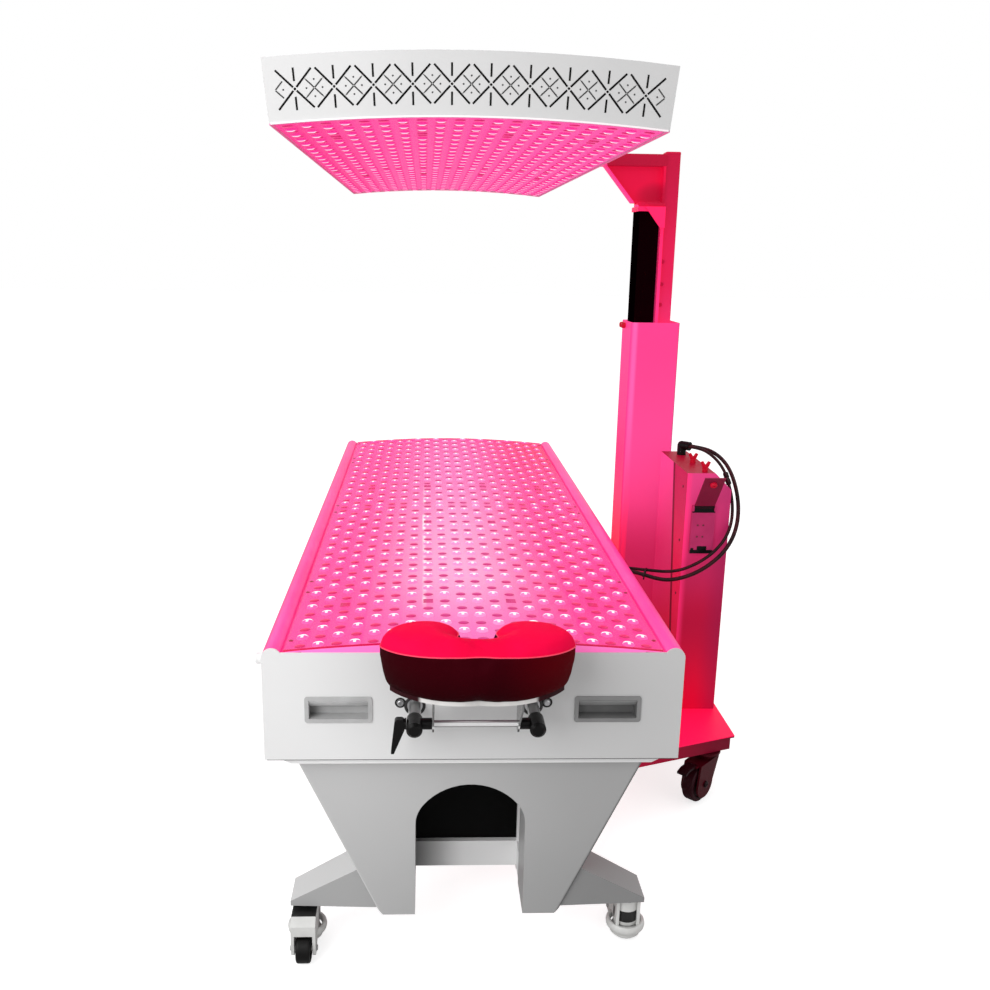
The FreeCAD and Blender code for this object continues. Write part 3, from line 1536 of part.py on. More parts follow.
def wing_bolts():
    """Two red wing bolts on the top of the power box."""
    wing = s.wing_span / 2
    low = s.wing_stud
    pieces = []
    for tag, x, y in (("rear", 0.5, 0.45), ("front", 0.55, 0.08)):
        place_x = s.power_left + (s.power_width - s.power_chamfer) * x + s.power_chamfer / 4
        place_y = s.power_front + s.power_depth * y
        profile = [(0, 0), (s.wing_hub_radius, 0), (s.wing_hub_radius, low), (0, low)]
        hub = turned(f"wing_hub_{tag}", profile, "Z", (place_x, place_y, power_top))
        shape = [
            (-s.wing_hub_radius, 0),
            (s.wing_hub_radius, 0),
            (wing, s.wing_height),
            (wing / 2, s.wing_height * 1.2),
            (0, s.wing_height / 2),
            (-wing / 2, s.wing_height * 1.2),
            (-wing, s.wing_height),
        ]
        span = (place_y - s.wing_gauge / 2, place_y + s.wing_gauge / 2)
        wings = prism(f"wings_{tag}", "XZ", shape, span, (place_x, 0, power_top + low))
        pieces.append(fuse(f"wing_bolt_{tag}", hub, wings))
    node("wing_bolts", *pieces)


# Routes of the two cords from the elbow on the power box to the glands on the bed, about the bed's centre.
OUTER_ROUTE = (
    (632.6, 6.2, 835),
    (656.8, -18, 835),
    (675, -52, 832),
    (690, -87, 821),
    (700, -122, 803),
    (705, -155, 778),
    (707, -185, 748),
    (705, -211, 714),
    (697, -232, 678),
    (682, -247, 644),
    (660, -255, 613),
    (631, -258, 586),
    (598, -259, 564),
    (563, -258, 549),
    (529, -252, 540),
    (500, -240, 540),
    (473, -226, 545),
    (447, -216, 550),
    (421, -212, 552),
    (393, -212, 552),
)
INNER_ROUTE = (
    (624.8, -1.6, 835),
    (649.2, -26, 835),
    (666, -58, 828),
    (680, -91, 814),
    (689, -122, 795),
    (693, -151, 770),
    (695, -179, 741),
    (692, -205, 709),
    (684, -225, 677),
    (668, -239, 646),
    (645, -245, 618),
    (617, -246, 594),
    (585, -245, 575),
    (553, -240, 561),
    (521, -229, 555),
    (495, -214, 553),
    (470, -200, 551),
    (446, -190, 551),
    (421, -186, 551),
    (393, -186, 551),
)


def cord(name, route, diameter):
    """Round cord along straight runs joined by tangent arcs as large as the runs allow."""
    points = [Vector(*point) for point in route]
    edges = []
    radii = []
    start = points[0]
    for before, corner, after in zip(points, points[1:], points[2:]):
        back = before - corner
        ahead = after - corner
        turn = math.pi - back.getAngle(ahead)
        tangent_length = 0.45 * min(back.Length, ahead.Length)
        radii.append(tangent_length / math.tan(turn / 2))
        arc_start = corner + back.normalize() * tangent_length
        arc_end = corner + ahead.normalize() * tangent_length
        bisector = (back + ahead).normalize()
        middle = corner + bisector * (radii[-1] / math.cos(turn / 2) - radii[-1])
        edges.append(Part.LineSegment(start, arc_start).toShape())
        edges.append(Part.Arc(arc_start, middle, arc_end).toShape())
        start = arc_end
    edges.append(Part.LineSegment(start, points[-1]).toShape())
    path = Part.Wire(edges)
    ring = Part.Wire(Part.makeCircle(diameter / 2, points[0], points[1] - points[0]))
    tube = doc.addObject("Part::Feature", f"{name}_tube")
    tube.Shape = path.makePipeShell([ring], True, False)
    expected = math.pi * diameter * diameter / 4 * path.Length
    print(f"{name}: length {path.Length:.0f} mm, least radius {min(radii):.0f} mm")
    print(f"{name}: volume against section times length {tube.Shape.Volume / expected:.4f}")
    node(name, tube)


end_panels()
flush_pulls()
side_rails()
bed_tray()
bed_deck()
led_drivers()
side_peg()
pedestals()
outrigger_feet()
bed_casters()
post_sockets()
cradle_slide()
cradle_tilt()
cam_lever()
stand_base()
stand_casters()
column()
lift_bracket()
lift_post()
canopy_arm()
canopy()
canopy_ends()
power_box()
cable_glands()
wing_bolts()
cord("cord_outer", OUTER_ROUTE, s.cord_outer_diameter.value)
cord("cord_inner", INNER_ROUTE, s.cord_inner_diameter.value)
doc.recompute()

faults = [thing.Name for thing in doc.Objects if {"Invalid", "Error"} & set(thing.State)]
for piece in nodes:
    shape = piece.Shape
    if shape.isNull() or not shape.isValid() or not shape.Solids:
        faults.append(piece.Label)
if faults:
    raise RuntimeError("pieces that failed: " + ", ".join(faults))

os.makedirs("parts", exist_ok=True)
for piece in nodes:
    piece.Shape.exportStep(f"parts/{piece.Label}.step")
print(f"{len(nodes)} pieces written")
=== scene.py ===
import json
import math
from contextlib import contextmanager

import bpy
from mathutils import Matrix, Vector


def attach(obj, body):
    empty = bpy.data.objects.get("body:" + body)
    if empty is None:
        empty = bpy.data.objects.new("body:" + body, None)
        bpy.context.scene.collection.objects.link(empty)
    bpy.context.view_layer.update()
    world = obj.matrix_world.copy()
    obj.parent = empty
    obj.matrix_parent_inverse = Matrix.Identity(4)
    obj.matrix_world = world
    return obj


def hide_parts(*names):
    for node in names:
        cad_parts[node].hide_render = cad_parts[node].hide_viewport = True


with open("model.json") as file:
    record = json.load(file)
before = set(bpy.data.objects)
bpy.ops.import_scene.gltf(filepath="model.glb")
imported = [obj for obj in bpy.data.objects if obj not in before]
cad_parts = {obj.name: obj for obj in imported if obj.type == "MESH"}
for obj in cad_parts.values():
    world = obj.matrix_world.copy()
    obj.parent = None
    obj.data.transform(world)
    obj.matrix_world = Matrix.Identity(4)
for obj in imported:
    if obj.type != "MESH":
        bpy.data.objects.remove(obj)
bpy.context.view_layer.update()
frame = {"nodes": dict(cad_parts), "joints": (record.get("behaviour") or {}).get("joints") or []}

# %% [markdown]
# # A light therapy bed, dressed in Blender
# The solids of the bed, its rolling stand and its canopy are already in place, in metres. This lesson
# lights them, gives each one a finish made of shader nodes, and models what the solids leave out: the light
# emitters, the padded face cushion, the two cords and the small fittings. Places are written in millimetres
# from the middle of the bed, as on a drawing, and one function turns them into the frame's metres.

nodes = frame["nodes"]
ROOT, LIFT = "bed_and_stand", "canopy_lift"
ORIGIN = Vector((0.152, 0.0205, 0.0))


def spot(x, y, z):
    """Place in the frame of a point given in millimetres from the middle of the bed."""
    return Vector((x, y, z)) / 1000 - ORIGIN


# %% [markdown]
# ## Camera
# The photograph was taken from in front of the head end, a little to the left, at about standing height.
# The place and the three turns were found by matching the corners of the bed, the canopy and the stand. The
# turns are applied one after the other: roll about the line of sight, then pitch, then yaw.

# %% Camera
FRAME_PIXELS = 990
FOCAL_PIXELS = 974.8
SENSOR = 36.0
EYE = Vector((-0.24185, -2.59252, 1.33486))
YAW, PITCH, ROLL = (math.radians(turn) for turn in (2.09, 13.93, 0.80))
LENS_SHIFT = 0.0363

bpy.ops.object.camera_add()
camera = bpy.context.object
camera.name = "studio_camera"
camera.data.sensor_width = SENSOR
camera.data.lens = SENSOR * FOCAL_PIXELS / FRAME_PIXELS
camera.data.shift_x = LENS_SHIFT
turns = ((-YAW, "Z"), (math.pi / 2 - PITCH, "X"), (ROLL, "Z"))
yaw, pitch, roll = (Matrix.Rotation(turn, 4, axis) for turn, axis in turns)
camera.matrix_world = Matrix.Translation(EYE) @ (yaw @ pitch @ roll)
bpy.context.scene.camera = camera
bpy.context.scene.view_settings.view_transform = "Standard"
print(f"lens {camera.data.lens:.2f} mm")

# %% [markdown]
# ## Shader helper
# Writing node trees by hand hides what they do. Here a small class wraps a socket, so that sums and
# products of masks are written as plain expressions, and a second one makes any other node from its type,
# settings and sockets. Its x, y and z are metres from the middle of the bed, so that a mask can name a real
# place.


# %% Shader helper
class Wire:
    """An output socket that can be used in sums; each operator adds a Math node."""

    def __init__(self, finish, socket):
        self.finish = finish
        self.socket = socket

    def math(self, operation, first, second=0.0):
        return self.finish.node("Math", {"operation": operation}, {0: first, 1: second})

    def __add__(self, other):
        return self.math("ADD", self, other)

    def __sub__(self, other):
        return self.math("SUBTRACT", self, other)

    def __rsub__(self, other):
        return self.math("SUBTRACT", other, self)

    def __mul__(self, other):
        return self.math("MULTIPLY", self, other)

    def __truediv__(self, other):
        return self.math("DIVIDE", self, other)

    def __rtruediv__(self, other):
        return self.math("DIVIDE", other, self)

    def __pow__(self, other):
        return self.math("POWER", self, other)

    def __gt__(self, other):
        return self.math("GREATER_THAN", self, other)

    def __lt__(self, other):
        return self.math("LESS_THAN", self, other)

    def __abs__(self):
        return self.math("ABSOLUTE", self)

    def most(self, other):
        return self.math("MAXIMUM", self, other)

    def ramp(self, low, high):
        """0 below low, 1 above high and smooth between."""
        settings = {"interpolation_type": "SMOOTHSTEP"}
        return self.finish.node("MapRange", settings, {"Value": self, "From Min": low, "From Max": high})

    __radd__ = __add__
    __rmul__ = __mul__


def linear(red, green=None, blue=None):
    """Screen colour, 0 to 255, as the light values that a shader needs. One number makes a grey."""
    channels = (red, red, red) if green is None else (red, green, blue)
    shares = (channel / 255 for channel in channels)
    light = [share / 12.92 if share <= 0.04045 else ((share + 0.055) / 1.055) ** 2.4 for share in shares]
    return (*light, 1.0)


BLACK = (0.0, 0.0, 0.0, 1.0)


class Finish:
    """A material: a Principled shader and the nodes that feed it."""

    def __init__(self, name, roughness=0.5, metallic=0.0, **constants):
        self.material = bpy.data.materials.new(name)
        self.material.use_nodes = True
        self.tree = self.material.node_tree
        self.shader = self.tree.nodes["Principled BSDF"]
        self.feed(Roughness=roughness, Metallic=metallic, **constants)
        self.place = self.node("TexCoord", output="Object")
        from_bed = self.node("VectorMath", {"operation": "ADD"}, {0: self.place, 1: ORIGIN})
        self.x, self.y, self.z = self.parts(from_bed)

    def plug(self, socket, value):
        if isinstance(value, Wire):
            self.tree.links.new(value.socket, socket)
        else:
            socket.default_value = value

    def node(self, kind, settings=None, sockets=None, output=0):
        made = self.tree.nodes.new("ShaderNode" + kind)
        for name, value in (settings or {}).items():
            setattr(made, name, value)
        for key, value in (sockets or {}).items():
            self.plug(made.inputs[key], value)
        return Wire(self, made.outputs[output])

    def parts(self, vector):
        """The three parts of a vector."""
        split = self.node("SeparateXYZ", {}, {0: vector}).socket.node
        return [Wire(self, output) for output in split.outputs]

    def mix(self, share, first, second):
        return self.node("Mix", {"data_type": "RGBA"}, {0: share, 6: first, 7: second}, 2)

    def along(self, value, *stops):
        """Colour that passes through stops, each a place and a screen colour, as a value rises."""
        tone = linear(*stops[0][1])
        for (start, _), (end, colour) in zip(stops, stops[1:]):
            tone = self.mix(value.ramp(start, end), tone, linear(*colour))
        return tone

    def noise(self, per_metre, detail=2.0, stretch=None):
        place = self.place
        if stretch:
            place = self.node("Mapping", {}, {"Vector": place, "Scale": stretch})
        return self.node("TexNoise", {}, {"Vector": place, "Scale": per_metre, "Detail": detail})

    def feed(self, **links):
        for socket, value in links.items():
            self.plug(self.shader.inputs[socket.replace("_", " ")], value)
        return self

    def bump(self, height, distance):
        return self.feed(Normal=self.node("Bump", {}, {"Height": height, "Distance": distance}))


print("shader helper ready")

# %% [markdown]
# ## Studio
# The object stands on a plain white floor in an even, soft light: a bright world, a large key lamp from the
# upper left and a weaker one from the right. The world is white to the camera and to reflections. The floor
# gives off some light of its own, but only to the camera, so that it is white and still takes the object's
# shadow.

# %% Studio
WHITE = (1.0, 1.0, 1.0, 1.0)
AMBIENT = 0.6
FLOOR_SIZE = 60
FLOOR_GLOW = (0.74, 0.74, 0.74, 1.0)
LAMPS = {
    "key_lamp": {"place": (-2.2, -2.9, 2.2), "aim_at": (0.0, -0.4, 0.7), "size": 2.6, "power": 76},
    "fill_lamp": {"place": (2.6, -2.6, 1.6), "aim_at": (0.3, -0.2, 0.7), "size": 2.2, "power": 8},
    "top_lamp": {"place": (0.2, 0.2, 4.2), "aim_at": (0.1, 0.0, 0.6), "size": 3.0, "power": 40},
}


def studio_world():
    world = bpy.data.worlds.new("studio_world")
    world.use_nodes = True
    tree = world.node_tree
    path = tree.nodes.new("ShaderNodeLightPath")
    even = tree.nodes["Background"]
    even.inputs["Color"].default_value = WHITE
    even.inputs["Strength"].default_value = AMBIENT
    white = tree.nodes.new("ShaderNodeBackground")
    white.inputs["Color"].default_value = WHITE
    blend = tree.nodes.new("ShaderNodeMixShader")
    seen = path.outputs["Is Camera Ray"]
    for other in ("Is Glossy Ray", "Is Transmission Ray"):
        either = tree.nodes.new("ShaderNodeMath")
        either.operation = "MAXIMUM"
        tree.links.new(seen, either.inputs[0])
        tree.links.new(path.outputs[other], either.inputs[1])
        seen = either.outputs[0]
    tree.links.new(seen, blend.inputs["Fac"])
    tree.links.new(even.outputs[0], blend.inputs[1])
    tree.links.new(white.outputs[0], blend.inputs[2])
    tree.links.new(blend.outputs[0], tree.nodes["World Output"].inputs["Surface"])
    bpy.context.scene.world = world


def lamp(name, place, aim_at, size, power):
    bpy.ops.object.light_add(type="AREA", location=place)
    light = bpy.context.object
    light.name = name
    light.data.size = size
    light.data.energy = power
    light.rotation_euler = (Vector(aim_at) - Vector(place)).to_track_quat("-Z", "Y").to_euler()


def floor():
    bpy.ops.mesh.primitive_plane_add(size=FLOOR_SIZE)
    plane = bpy.context.object
    plane.name = "studio_floor"
    paper = Finish("floor_paper", roughness=0.9, Emission_Strength=1.0, Specular_IOR_Level=0.1)
    to_camera = paper.node("LightPath", output="Is Camera Ray")
    fibre = paper.noise(40, 3.0) * 0.1
    paper.feed(Base_Color=paper.mix(fibre, linear(206), linear(216)))
    paper.feed(Emission_Color=paper.mix(to_camera, BLACK, FLOOR_GLOW))
    plane.data.materials.append(paper.material)


bpy.ops.object.select_all(action="DESELECT")
studio_world()
for name, facts in LAMPS.items():
    lamp(name, **facts)
floor()
print("studio lit")

# %% [markdown]
# ## Painted sheet metal
# The bed and the canopy are folded sheet with a satin white powder coat. Close up, powder coat has an
# orange-peel surface, which a fine noise gives as bump and as small changes in roughness. The photograph's
# light falls off from left to right, so the whites are written as gradients between two measured greys.

# %% Bed paint
BED_HALF, NEAR_HALF = 0.375, 0.3
PEDESTAL_HEIGHTS = (0.092, 0.430)
PEDESTAL_HALVES = (0.172, 0.328)


def powder_coat(name, shade, roughness=0.42, shine=0.35, glow=0.0):
    """Satin powder coat. shade(coat) gives its colour, and glow the light that the lamps add."""
    coat = Finish(name, roughness=roughness, Specular_IOR_Level=shine, Emission_Strength=glow)
    peel = coat.noise(900, 3.0)
    cloud = coat.noise(2.5, 2.0).ramp(0.35, 0.75)
    tone = coat.mix(cloud * 0.05, shade(coat), BLACK)
    coat.feed(Base_Color=tone, Emission_Color=tone, Roughness=roughness - 0.04 + peel * 0.08)
    coat.bump(peel, 0.00012)
    return coat


def across(left, right, half=BED_HALF):
    """Grey that changes from left to right over a width about the middle of the bed: a painted fall-off of
    the light.
    """
    return lambda coat: coat.along(coat.x, (-half, (left,)), (half, (right,)))


def pedestal_shade(coat):
    """Grey front, painted darker towards the bottom as shade, with a painted highlight on the left edge and
    painted shade on the right edge, where the sheet is folded back.
    """
    low, high = PEDESTAL_HEIGHTS
    narrow, wide = PEDESTAL_HALVES
    side = (coat.z - low) * ((wide - narrow) / (high - low)) + narrow
    front = across(194, 168, NEAR_HALF)(coat)
    shaded = coat.mix((1 - coat.z.ramp(0.06, 0.42)) * 0.16, front, BLACK)
    right = coat.mix((coat.x - side).ramp(-0.008, -0.001), shaded, linear(84))
    return coat.mix((0.0 - coat.x - side).ramp(-0.006, -0.001), right, linear(206))


def foot_shade(coat):
    """Sloping top painted light as lit, and front face painted darker as shade; the front face draws in
    towards the tip.
    """
    top = across(205, 156, NEAR_HALF)(coat)
    front = across(167, 136, NEAR_HALF)(coat)
    return coat.mix((abs(coat.y) + abs(coat.x) * 0.0484) > 0.9376, top, front)


def rail_shade(coat):
    """White outside, and pink where the light of the deck falls on the rail's shoulder."""
    side = abs(coat.x)
    top = coat.z.ramp(0.628, 0.640) * (1 - side.ramp(0.371, 0.3745))
    warm = coat.noise(7, 2.0).ramp(0.3, 0.7)
    pink = coat.mix(warm, linear(255, 56, 154), linear(255, 72, 166))
    deep = coat.mix(side.ramp(0.362, 0.371), pink, linear(240, 40, 126))
    return coat.mix(top, linear(236), deep)


panel_coat = powder_coat("panel_coat", across(231, 199))
tray_coat = powder_coat("tray_coat", across(254, 234))
pedestal_coat = powder_coat("pedestal_coat", pedestal_shade)
foot_coat = powder_coat("foot_coat", foot_shade)
# The crossbar in the arch is painted dark at its left and light to the right: painted shade.
frame_coat = powder_coat("frame_coat", lambda coat: coat.along(coat.x, (-0.12, (110,)), (0.0, (238,))))
rail_coat = powder_coat("rail_coat", rail_shade, glow=0.2)
print("bed paint ready")

# %% [markdown]
# ## Stand paint
# The stand stands in the light of the lamps, so the photograph shows it in pinks and reds that change from
# face to face: pink at the top, where the light is strong, and crimson towards the floor. Each part gets a
# function that tells its faces apart by their place and gives each one its own run of colour.

# %% Stand paint
# Every stand coat also glows in its own colour: painted light.
STAND_COAT = {"roughness": 0.46, "shine": 0.12, "glow": 0.45}
BOX_LEFT, BOX_TOP = 0.5674, 0.8085
SHADOW_LINE_SLOPE, SHADOW_LINE_OFFSET = 0.158, 0.2106


def column_front(coat, height):
    low, high = (0.17, (190, 10, 46)), (1.15, (248, 62, 134))
    return coat.along(height, low, (0.46, (194, 38, 92)), (0.78, (226, 70, 138)), high)


def column_shade(coat):
    # The front and the left face are painted in their own runs of light, with a painted highlight band on
    # the rounded front-left corner and painted shade along the right edge.
    front = column_front(coat, coat.z)
    left = coat.along(coat.z, (0.3, (246, 12, 62)), (1.1, (246, 64, 142)))
    band = coat.x.ramp(0.4775, 0.486) * (1 - coat.x.ramp(0.490, 0.500))
    light = coat.along(coat.z, (0.45, (250, 34, 92)), (1.0, (255, 100, 174)))
    tone = coat.mix(coat.x.ramp(0.4772, 0.482), left, front)
    tone = coat.mix(band * 0.8, tone, light)
    return coat.mix(coat.x.ramp(0.6095, 0.6128), tone, linear(120, 10, 40))


def box_shade(coat):
    """Front by height; on the left face a slanted dark line of painted shadow, behind which the column's
    colour is painted.
    """
    low, high = (0.2, (204, 6, 50)), (0.8, (206, 60, 120))
    front = coat.along(coat.z, low, (0.42, (168, 8, 52)), (0.62, (182, 36, 88)), high)
    # Painted highlight along the front's left edge, and painted shade towards its right.
    bright = coat.mix((1 - coat.x.ramp(0.567, 0.585)) * 0.6, front, linear(255, 46, 120))
    dim = coat.mix(coat.x.ramp(0.62, 0.681) * 0.45, bright, linear(120, 20, 66))
    near = coat.along(coat.z, (0.25, (190, 6, 44)), (0.5, (206, 20, 70)), (0.78, (172, 24, 72)))
    # The slanted dark line paints the shadow of the column's edge; behind it the column's colours are
    # painted.
    behind = coat.y - coat.z * SHADOW_LINE_SLOPE + SHADOW_LINE_OFFSET
    edge_shadow = 1 - abs(behind).ramp(0.004, 0.014)
    left = coat.mix(behind.ramp(-0.006, 0.006), near, column_front(coat, coat.z - (0.13 - coat.y) * 0.5))
    left = coat.mix(edge_shadow, left, linear(96, 4, 26))
    tone = coat.mix(coat.x < BOX_LEFT, dim, left)
    # Behind the front, the right part and the top are painted darker, as shade.
    back = coat.y.ramp(-0.2155, -0.214)
    tone = coat.mix(back * coat.x.ramp(0.60, 0.62), tone, linear(150, 14, 54))
    return coat.mix(back * (coat.z > BOX_TOP), tone, linear(140, 0, 34))


def base_shade(coat):
    # Top painted bright as lit; skirt painted darker as shade, darker still to the right.
    top = coat.along(coat.y, (-0.4, (255, 20, 84)), (0.1, (230, 10, 60)))
    skirt = coat.along(coat.x, (0.3, (176, 14, 54)), (0.69, (104, 10, 34)))
    return coat.mix(coat.z > 0.1655, skirt, top)


def post_shade(coat):
    return coat.along(coat.z, (0.95, (210, 66, 138)), (1.3, (208, 26, 78)), (1.6, (180, 16, 58)))


def arm_shade(coat):
    """Red web with a painted soft shadow by the post, a beam painted darker as shade and a flange along its
    slope painted pink as lit.
    """
    slope = (coat.x - 0.392) * 0.768 + (coat.z - 1.570) * 0.640
    patch = ((coat.x - 0.540) / 0.060) ** 2 + ((coat.z - 1.490) / 0.038) ** 2
    web = coat.mix((1 - patch.ramp(0.0, 1.4)) * 0.6, linear(214, 14, 64), linear(150, 8, 44))
    beam = coat.mix(coat.z > 1.5695, web, linear(168, 12, 50))
    return coat.mix(slope < 0.0035, beam, linear(250, 60, 146))


def bracket_shade(coat):
    return coat.along(coat.z, (1.15, (255, 50, 124)), (1.45, (255, 38, 102)))


STAND_SHADES = {
    "column_housing": column_shade,
    "power_box": box_shade,
    "stand_base": base_shade,
    "lift_post": post_shade,
    "canopy_arm": arm_shade,
    "lift_bracket": bracket_shade,
}
stand_coats = {
    node: powder_coat(f"{node}_coat", shade, **STAND_COAT) for node, shade in STAND_SHADES.items()
}
print("stand paint ready")

# %% [markdown]
# ## Plastics, rubber and bare metal
# Moulded plastic carries the fine grain of its mould, and drawn metal has lines along its length. The
# bright parts are shaded by height as well: a polished bar mirrors a light ceiling, a dark middle and a
# light floor, and a plain white studio has no such dark middle.


# %% Plastics and metals
def moulded(name, shade, roughness, grain=1800, depth=0.00015, shine=0.5):
    """Moulded plastic with a fine grain. shade is a screen colour, or a function that gives one."""
    plastic = Finish(name, roughness=roughness, Specular_IOR_Level=shine)
    fine = plastic.noise(grain, 2.0)
    broad = plastic.noise(30, 2.0).ramp(0.3, 0.7)
    tone = shade(plastic) if callable(shade) else linear(*shade)
    plastic.feed(Base_Color=plastic.mix(broad * 0.12, tone, BLACK), Roughness=roughness - 0.05 + fine * 0.1)
    plastic.bump(fine, depth)
    return plastic


def bare_metal(name, shade, roughness, stretch, metallic=1.0):
    """Metal with fine lines along one direction. shade(metal) gives its colour."""
    metal = Finish(name, roughness=roughness, metallic=metallic)
    lines = metal.noise(260, 3.0, stretch)
    tone = metal.mix(lines * 0.3, shade(metal), BLACK)
    metal.feed(Base_Color=tone, Roughness=roughness - 0.05 + lines * 0.14)
    metal.bump(lines, 0.00004)
    return metal


def pull_shade(plastic):
    """Painted shade deepens into each pull's cavity, with a painted shadow in its left corner, and the
    right pull is painted in shade.
    """
    tone = across(188, 132, NEAR_HALF)(plastic)
    inside = across(190, 112, NEAR_HALF)(plastic)
    corner = plastic.along(plastic.x, (-0.293, (60,)), (-0.270, (190,)), (0.2, (112,)))
    deep = (0.977 - abs(plastic.y)).ramp(0.004, 0.020)
    return plastic.mix(deep, tone, plastic.mix(deep * 0.5, inside, corner))


def mirrored_bar(metal):
    """Painted reflection: bright, dark and bright again from the top of a bar to its underside."""
    stops = ((0.545, 60), (0.5475, 140), (0.550, 255), (0.5545, 255), (0.557, 130))
    return metal.along(metal.z, *((height, (level,)) for height, level in stops))


def platform_shade(plastic):
    """Pale board whose ends are wrapped in the cushion's dark cloth."""
    return plastic.mix(abs(plastic.x).ramp(0.092, 0.100), linear(222, 220, 218), linear(44, 2, 10))


def steel_grey(metal):
    return linear(188, 188, 190)


def caster_shade(paint):
    """Pale painted frame with a black dial round its stem, under a black bearing race."""
    side, along = abs(paint.x) - 0.318, abs(paint.y) - 0.885
    stem = (side * side + along * along) ** 0.5 < 0.0246
    dial = stem * (paint.z > 0.048) * (paint.z < 0.072)
    return paint.mix((paint.z > 0.0955).most(dial), linear(214, 214, 212), linear(16))


def pad_shade(rubber):
    """Pale pad with a dark underside, and a steel stud on top."""
    pad = rubber.mix(rubber.z > 0.0165, linear(60), linear(204, 204, 202))
    return rubber.mix(rubber.z > 0.0372, pad, linear(140))


def flap_shade(plastic):
    """Purple cover, black along its hinge."""
    return plastic.mix(plastic.z < 0.7275, linear(136, 26, 62), linear(26, 4, 12))


def stage_shade(paint):
    """Black, and darker still on the left face, which the key lamp would make grey."""
    return paint.mix(paint.x < 0.4885, linear(17, 1, 4), linear(3, 0, 1))


black_plastic = moulded("black_plastic", (14, 13, 13), 0.26, shine=0.12)
black_panel = moulded("black_panel", (9, 9, 9), 0.6, shine=0.05)
pull_plastic = moulded("pull_plastic", pull_shade, 0.5)
platform_plastic = moulded("platform_plastic", platform_shade, 0.5, shine=0.1)
red_plastic = moulded("red_plastic", (204, 4, 44), 0.3, shine=0.2)
flap_plastic = moulded("flap_plastic", flap_shade, 0.45, shine=0.15)
breaker_plastic = moulded("breaker_plastic", (190, 48, 104), 0.5, shine=0.15)
fork_paint = moulded("fork_paint", (74, 2, 18), 0.36, 900, shine=0.12)
pedal_plastic = moulded("pedal_plastic", (30, 3, 9), 0.32, shine=0.15)
stand_tread = moulded("stand_tread", (46, 4, 16), 0.42, 700, 0.0002, shine=0.15)
bed_tread = moulded("bed_tread", (14, 13, 13), 0.36, 700, 0.0002, shine=0.15)
stage_black = moulded("stage_black", stage_shade, 0.8, 900, shine=0.0)
caster_paint = moulded("caster_paint", caster_shade, 0.4, 1200)
pad_rubber = moulded("pad_rubber", pad_shade, 0.5, 900)
chrome = bare_metal("chrome", mirrored_bar, 0.18, (1.0, 30.0, 30.0), 0.4)
steel = bare_metal("satin_steel", steel_grey, 0.3, (30.0, 1.0, 30.0))
print("plastics and metals ready")

# %% [markdown]
# ## Light decks
# Each deck is an arched circuit board behind a clear sheet. The board glows pink, palest in the middle, but
# only on its lit face. Its back has to stay dark, because it can be seen through the slots in the canopy's
# ends. The two faces differ only in their distance from the centre of the arch, so that distance makes the
# mask.

# %% Glowing boards
ARCH_RADIUS = 3.300
COVER_GAUGE = 0.005
BED_ARCH = (0.0, -2.628)
CANOPY_ARCH = (-0.014, 1.541 - ARCH_RADIUS * math.cos(math.radians(5.95)))


def arch_radius(finish, arch):
    """Distance of a point from the line through the arch's centre."""
    side = finish.x - arch[0]
    height = finish.z - arch[1]
    return (side * side + height * height) ** 0.5


def bed_glow(board):
    """Pale along the middle, deeper to the sides, with a painted reflection, a thin white line, left of the
    middle.
    """
    cloud = board.noise(3.0, 2.0) * 0.16 - 0.08
    side = abs(board.x + 0.02) / 0.33 + cloud
    edge = board.along(board.x, (-0.3, (255, 54, 154)), (0.3, (255, 40, 144)))
    corner = board.x.ramp(0.05, 0.34) * board.y.ramp(0.1, 0.95)
    edge = board.mix(corner, edge, linear(252, 14, 98))
    near, far = (-0.97, (255, 112, 190)), (0.9, (255, 78, 166))
    pale = board.along(board.y, near, (-0.55, (255, 172, 216)), (0.5, (255, 108, 184)), far)
    tone = board.mix(side.ramp(0.0, 0.75), pale, edge)
    wave = board.noise(5.0, 3.0, (1.0, 0.4, 1.0)) - 0.5
    streak = 1 - abs(board.x + 0.089 + wave * 0.012).ramp(0.001, 0.006)
    span = board.y.ramp(-0.80, -0.70) * (1 - board.y.ramp(0.12, 0.26))
    return board.mix(streak * span * board.noise(14, 3.0).ramp(0.35, 0.6), tone, linear(255, 250, 253))


def canopy_glow(board):
    cloud = board.noise(3.0, 2.0) * 0.1 - 0.05
    left, right = (-0.34, (252, 36, 142)), (0.3, (255, 82, 172))
    return board.along(board.x + cloud, left, (-0.16, (255, 64, 160)), right)


def glowing_board(name, arch, face, outwards, shade):
    """Board that glows on one face and is plain on its back."""
    board = Finish(name, roughness=0.45, Emission_Strength=0.9, Specular_IOR_Level=0.1)
    lit = (arch_radius(board, arch) - face) * outwards > -0.002
    fleck = board.noise(220, 2.0).ramp(0.4, 0.8) * 0.12
    tone = board.mix(fleck, shade(board), linear(240, 40, 130))
    dim = board.mix(0.85, tone, BLACK)
    board.feed(Base_Color=board.mix(lit, linear(40, 6, 20), dim))
    board.feed(Emission_Color=board.mix(lit, BLACK, tone))
    return board


def canopy_shade(coat):
    """White shell with a painted fall-off of light, whose lower rim is painted pink as lit by the board
    beside it.
    """
    rim = arch_radius(coat, CANOPY_ARCH).ramp(ARCH_RADIUS + 0.0005, ARCH_RADIUS + 0.0035)
    return coat.mix(rim, linear(255, 150, 204), across(222, 204)(coat))


canopy_coat = powder_coat("canopy_coat", canopy_shade)
bed_board = glowing_board("bed_board", BED_ARCH, ARCH_RADIUS - COVER_GAUGE, 1.0, bed_glow)
canopy_board = glowing_board("canopy_board", CANOPY_ARCH, ARCH_RADIUS + COVER_GAUGE, -1.0, canopy_glow)
print("boards ready")

# %% [markdown]
# The clear sheets are acrylic with faint wiping marks in their gloss. The bed's sheet turns down into a
# strip at each end. The strip is painted pink and solid, with a painted glow of the deck's light, and the
# sheet's front edge above it shows as a dark red line.

# %% Clear sheets
CLEAR_ALPHA = 0.05


